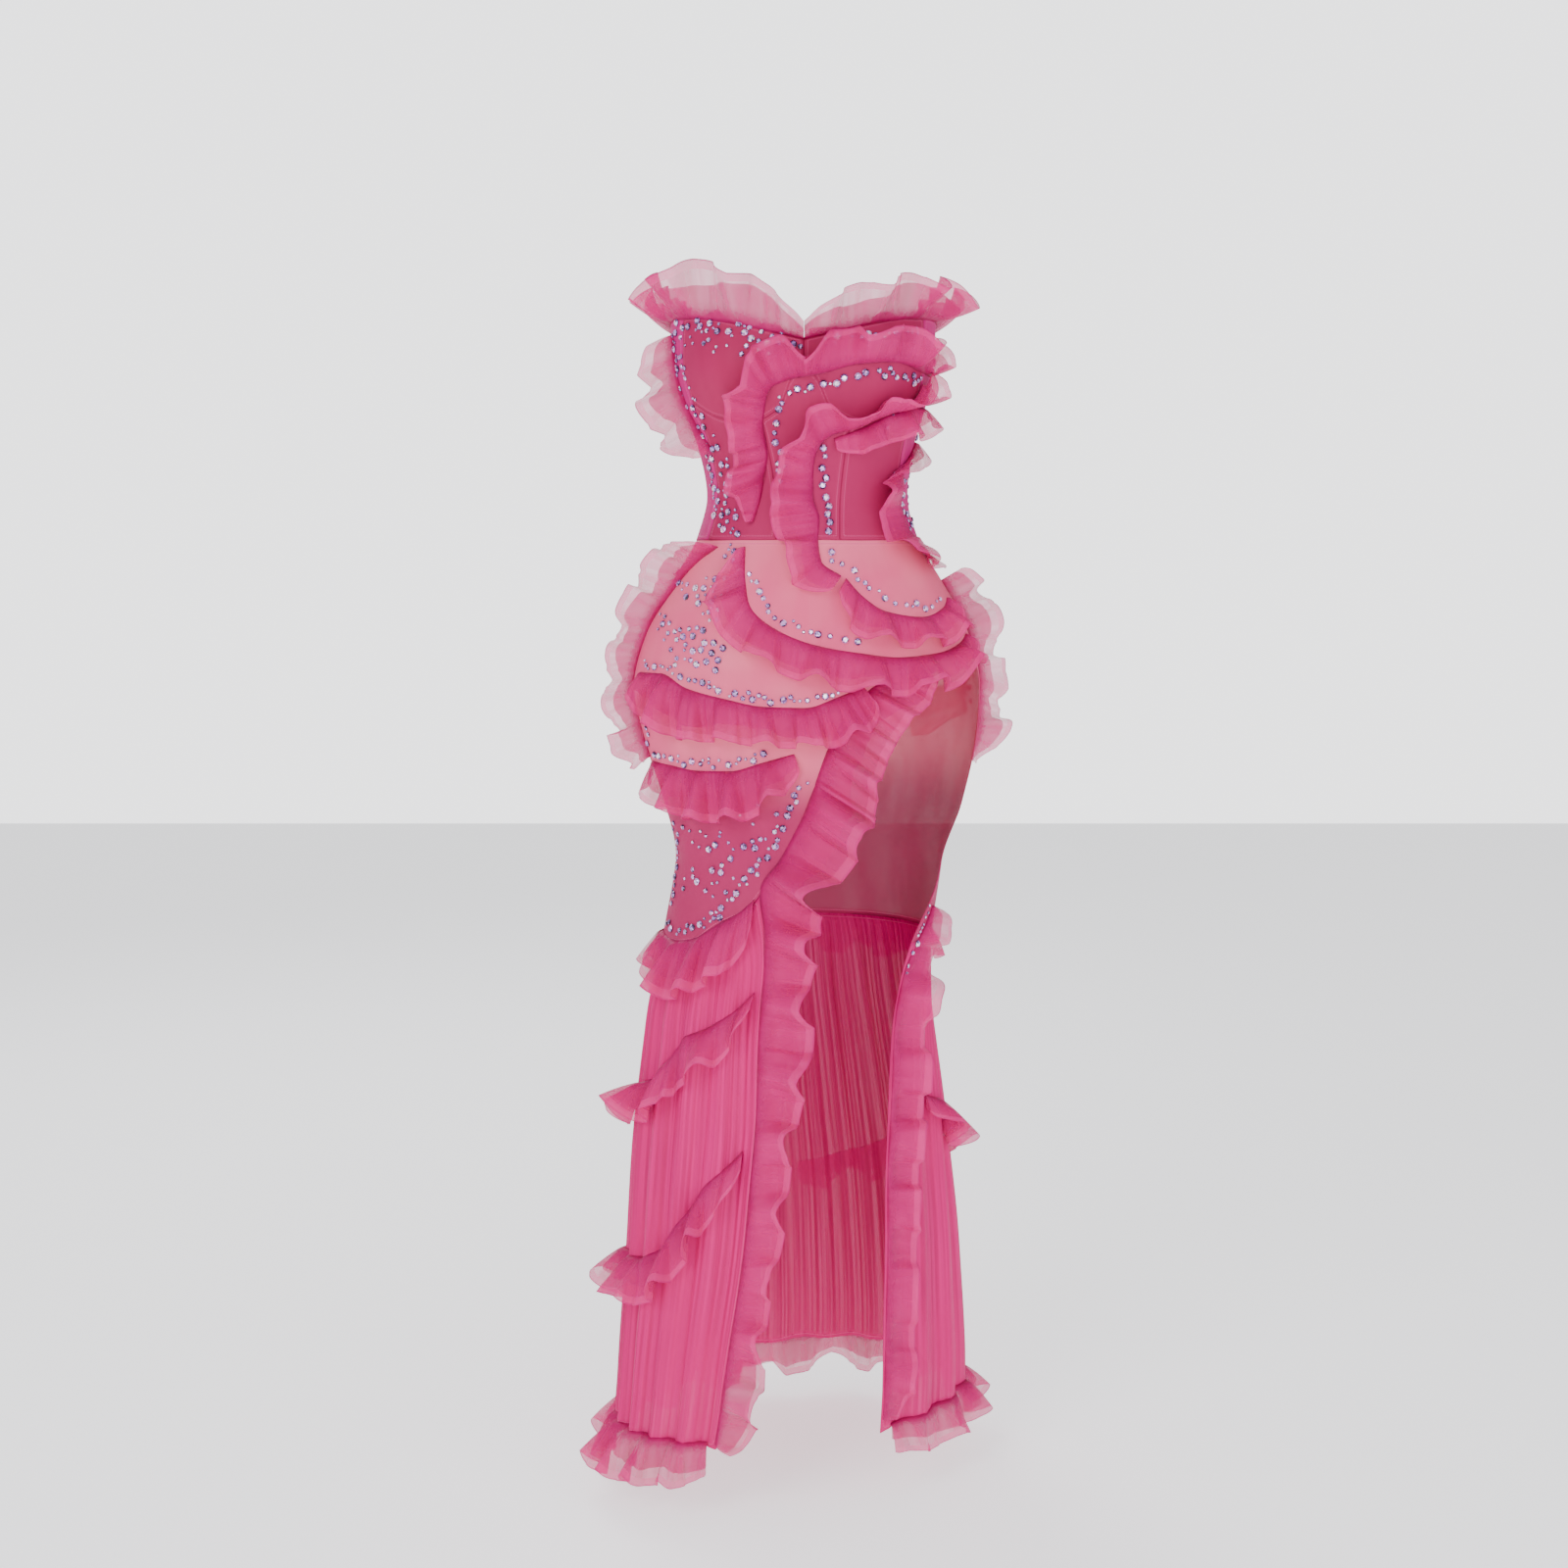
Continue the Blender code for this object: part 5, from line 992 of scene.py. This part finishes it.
def makeZip():
    # two tapes side by side with a slit between, and teeth that take turns from the left and the right
    cut = backZip
    for side in (-1, 1):
        height = np.linspace(cut["top"], cut["foot"], cut["rows"])[:, None]
        across = np.linspace(cut["halfGap"], cut["tapeWidth"] + cut["halfGap"], cut["columns"])[None, :]
        angle = 180 - side * seamAngle(across, height)
        cord = cut["cord"] * np.sin(height * turn / cut["toothPitch"]) * np.exp(-across / cut["cordWidth"])
        # its outer edge lies on the bodice
        lift = cut["tapeLift"] - cut["tapeDrop"] * (across / cut["tapeWidth"]) ** 3
        points = offBody(angle, np.broadcast_to(height, angle.shape), lift + cord)
        name = "zip_tape_left" if side > 0 else "zip_tape_right"
        piece = layCloth(name, points, "tape", cut["wall"])
    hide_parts("back_zip_tape")
    count = int((cut["closedTo"] - cut["toothFoot"]) / cut["toothPitch"] * 2)
    height = cut["toothFoot"] + np.arange(count) * cut["toothPitch"] / 2
    aside = np.where(np.arange(count) % 2 == 0, -1.0, 1.0) * cut["toothAside"]
    centre = offBody(180 - seamAngle(aside, height), height, np.full(count, cut["toothLift"]))
    out = bodyNormal(np.full(count, 180.0), height)
    across = np.broadcast_to([-1.0, 0.0, 0.0], out.shape)
    frames = np.stack([across, out, np.cross(across, out)], axis=2) * np.array(cut["toothSize"]) / 2
    corners = np.array([(x, y, z) for x in (-1, 1) for y in (-1, 1) for z in (-1, 1)], float)
    corners[:, [0, 2]] *= np.where(corners[:, 1:2] > 0, cut["narrowed"], 1.0)  # the tooth narrows outwards
    points = np.einsum("nij,kj->nki", frames, corners) + centre[:, None, :]
    faces = [(0, 1, 3, 2), (4, 6, 7, 5), (0, 4, 5, 1), (2, 3, 7, 6), (0, 2, 6, 4), (1, 5, 7, 3)]
    sides = np.array(faces)
    if np.linalg.det(frames[0]) < 0:
        sides = sides[:, ::-1]
    everyFace = sides[None] + (np.arange(count) * 8)[:, None, None]
    mesh = bpy.data.meshes.new("zip_teeth")
    mesh.from_pydata(points.reshape(-1, 3).tolist(), [], everyFace.reshape(-1, 4).tolist())
    layer = mesh.uv_layers.new(name="cloth")
    layer.data.foreach_set("uv", np.tile([0, 0, mm, 0, mm, mm, 0, mm], len(mesh.polygons)).astype(np.float32))
    mesh.materials.append(finishes["teeth"])
    teeth = bpy.data.objects.new("zip_teeth", mesh)
    bpy.context.collection.objects.link(teeth)
    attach(teeth, "root")
    for node in ("zip_slider", "zip_pull"):
        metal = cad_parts[node]
        for place in metal.material_slots:
            place.material = finishes["nickel"]
    print("zip made")


makeStones()
makeZip()


# The floor, the light and the camera

studio = dict(
    floor=-1.168, floorSize=12.0, floorGlow=1.25,
    floorColour=(0.80, 0.80, 0.82, 1), floorSpeck=(0.76, 0.76, 0.78, 1),
    air=(0.98, 0.98, 1.0, 1), airStrength=0.62, wallStrength=2.6,
    lamps=[
        dict(name="key", place=(-1.7, -2.6, 1.5), size=1.6, power=64),
        dict(name="fill", place=(2.3, -2.2, 0.6), size=2.2, power=28),
        dict(name="front", place=(0.5, -3.0, -0.3), size=1.2, power=24),
        dict(name="back", place=(-1.2, 2.2, 1.4), size=1.8, power=45),
    ],
    aim=(0, 0, -0.4), eye=(-0.025, -2.55, -0.052), eyeTilt=83.6, lens=50.0,
)


def makeStudio():
    half = studio["floorSize"] / 2
    mesh = bpy.data.meshes.new("floor")
    around = [(-half, -half), (half, -half), (half, half), (-half, half)]
    mesh.from_pydata([(x, y, studio["floor"]) for x, y in around], [], [(0, 1, 2, 3)])
    made, tree, shader = newFinish("paleFloor")
    place = addNode(tree, "ShaderNodeTexCoord").outputs["Object"]
    speck = addNode(tree, "ShaderNodeTexNoise", {"Vector": place, "Scale": 3.0, "Detail": 4.0}).outputs[0]
    tone = mixColour(tree, speck, studio["floorColour"], studio["floorSpeck"])
    tree.links.new(tone, shader.inputs["Base Color"])
    shader.inputs["Roughness"].default_value = 0.7
    shader.inputs["Emission Color"].default_value = studio["floorColour"]
    shader.inputs["Emission Strength"].default_value = studio["floorGlow"]
    mesh.materials.append(made)
    floor = bpy.data.objects.new("floor", mesh)
    bpy.context.collection.objects.link(floor)
    world = bpy.data.worlds.new("air")
    world.use_nodes = True
    sky = world.node_tree.nodes["Background"]
    sky.inputs["Color"].default_value = studio["air"]
    seen = addNode(world.node_tree, "ShaderNodeLightPath").outputs["Is Camera Ray"]
    strength = between(world.node_tree, seen, 0.0, 1.0, studio["airStrength"], studio["wallStrength"])
    world.node_tree.links.new(strength, sky.inputs["Strength"])
    bpy.context.scene.world = world
    for lamp in studio["lamps"]:
        light = bpy.data.lights.new(lamp["name"], "AREA")
        light.size = lamp["size"]
        light.energy = lamp["power"]
        item = bpy.data.objects.new(lamp["name"], light)
        item.location = lamp["place"]
        towards = Vector(studio["aim"]) - Vector(lamp["place"])
        item.rotation_euler = towards.to_track_quat("-Z", "Y").to_euler()
        bpy.context.collection.objects.link(item)
    eye = bpy.data.cameras.new("eye")
    eye.lens = studio["lens"]
    eye.sensor_width = 36.0
    item = bpy.data.objects.new("eye", eye)
    item.location = studio["eye"]
    item.rotation_euler = (math.radians(studio["eyeTilt"]), 0, 0)
    bpy.context.collection.objects.link(item)
    bpy.context.scene.camera = item
    print("studio made")


makeStudio()
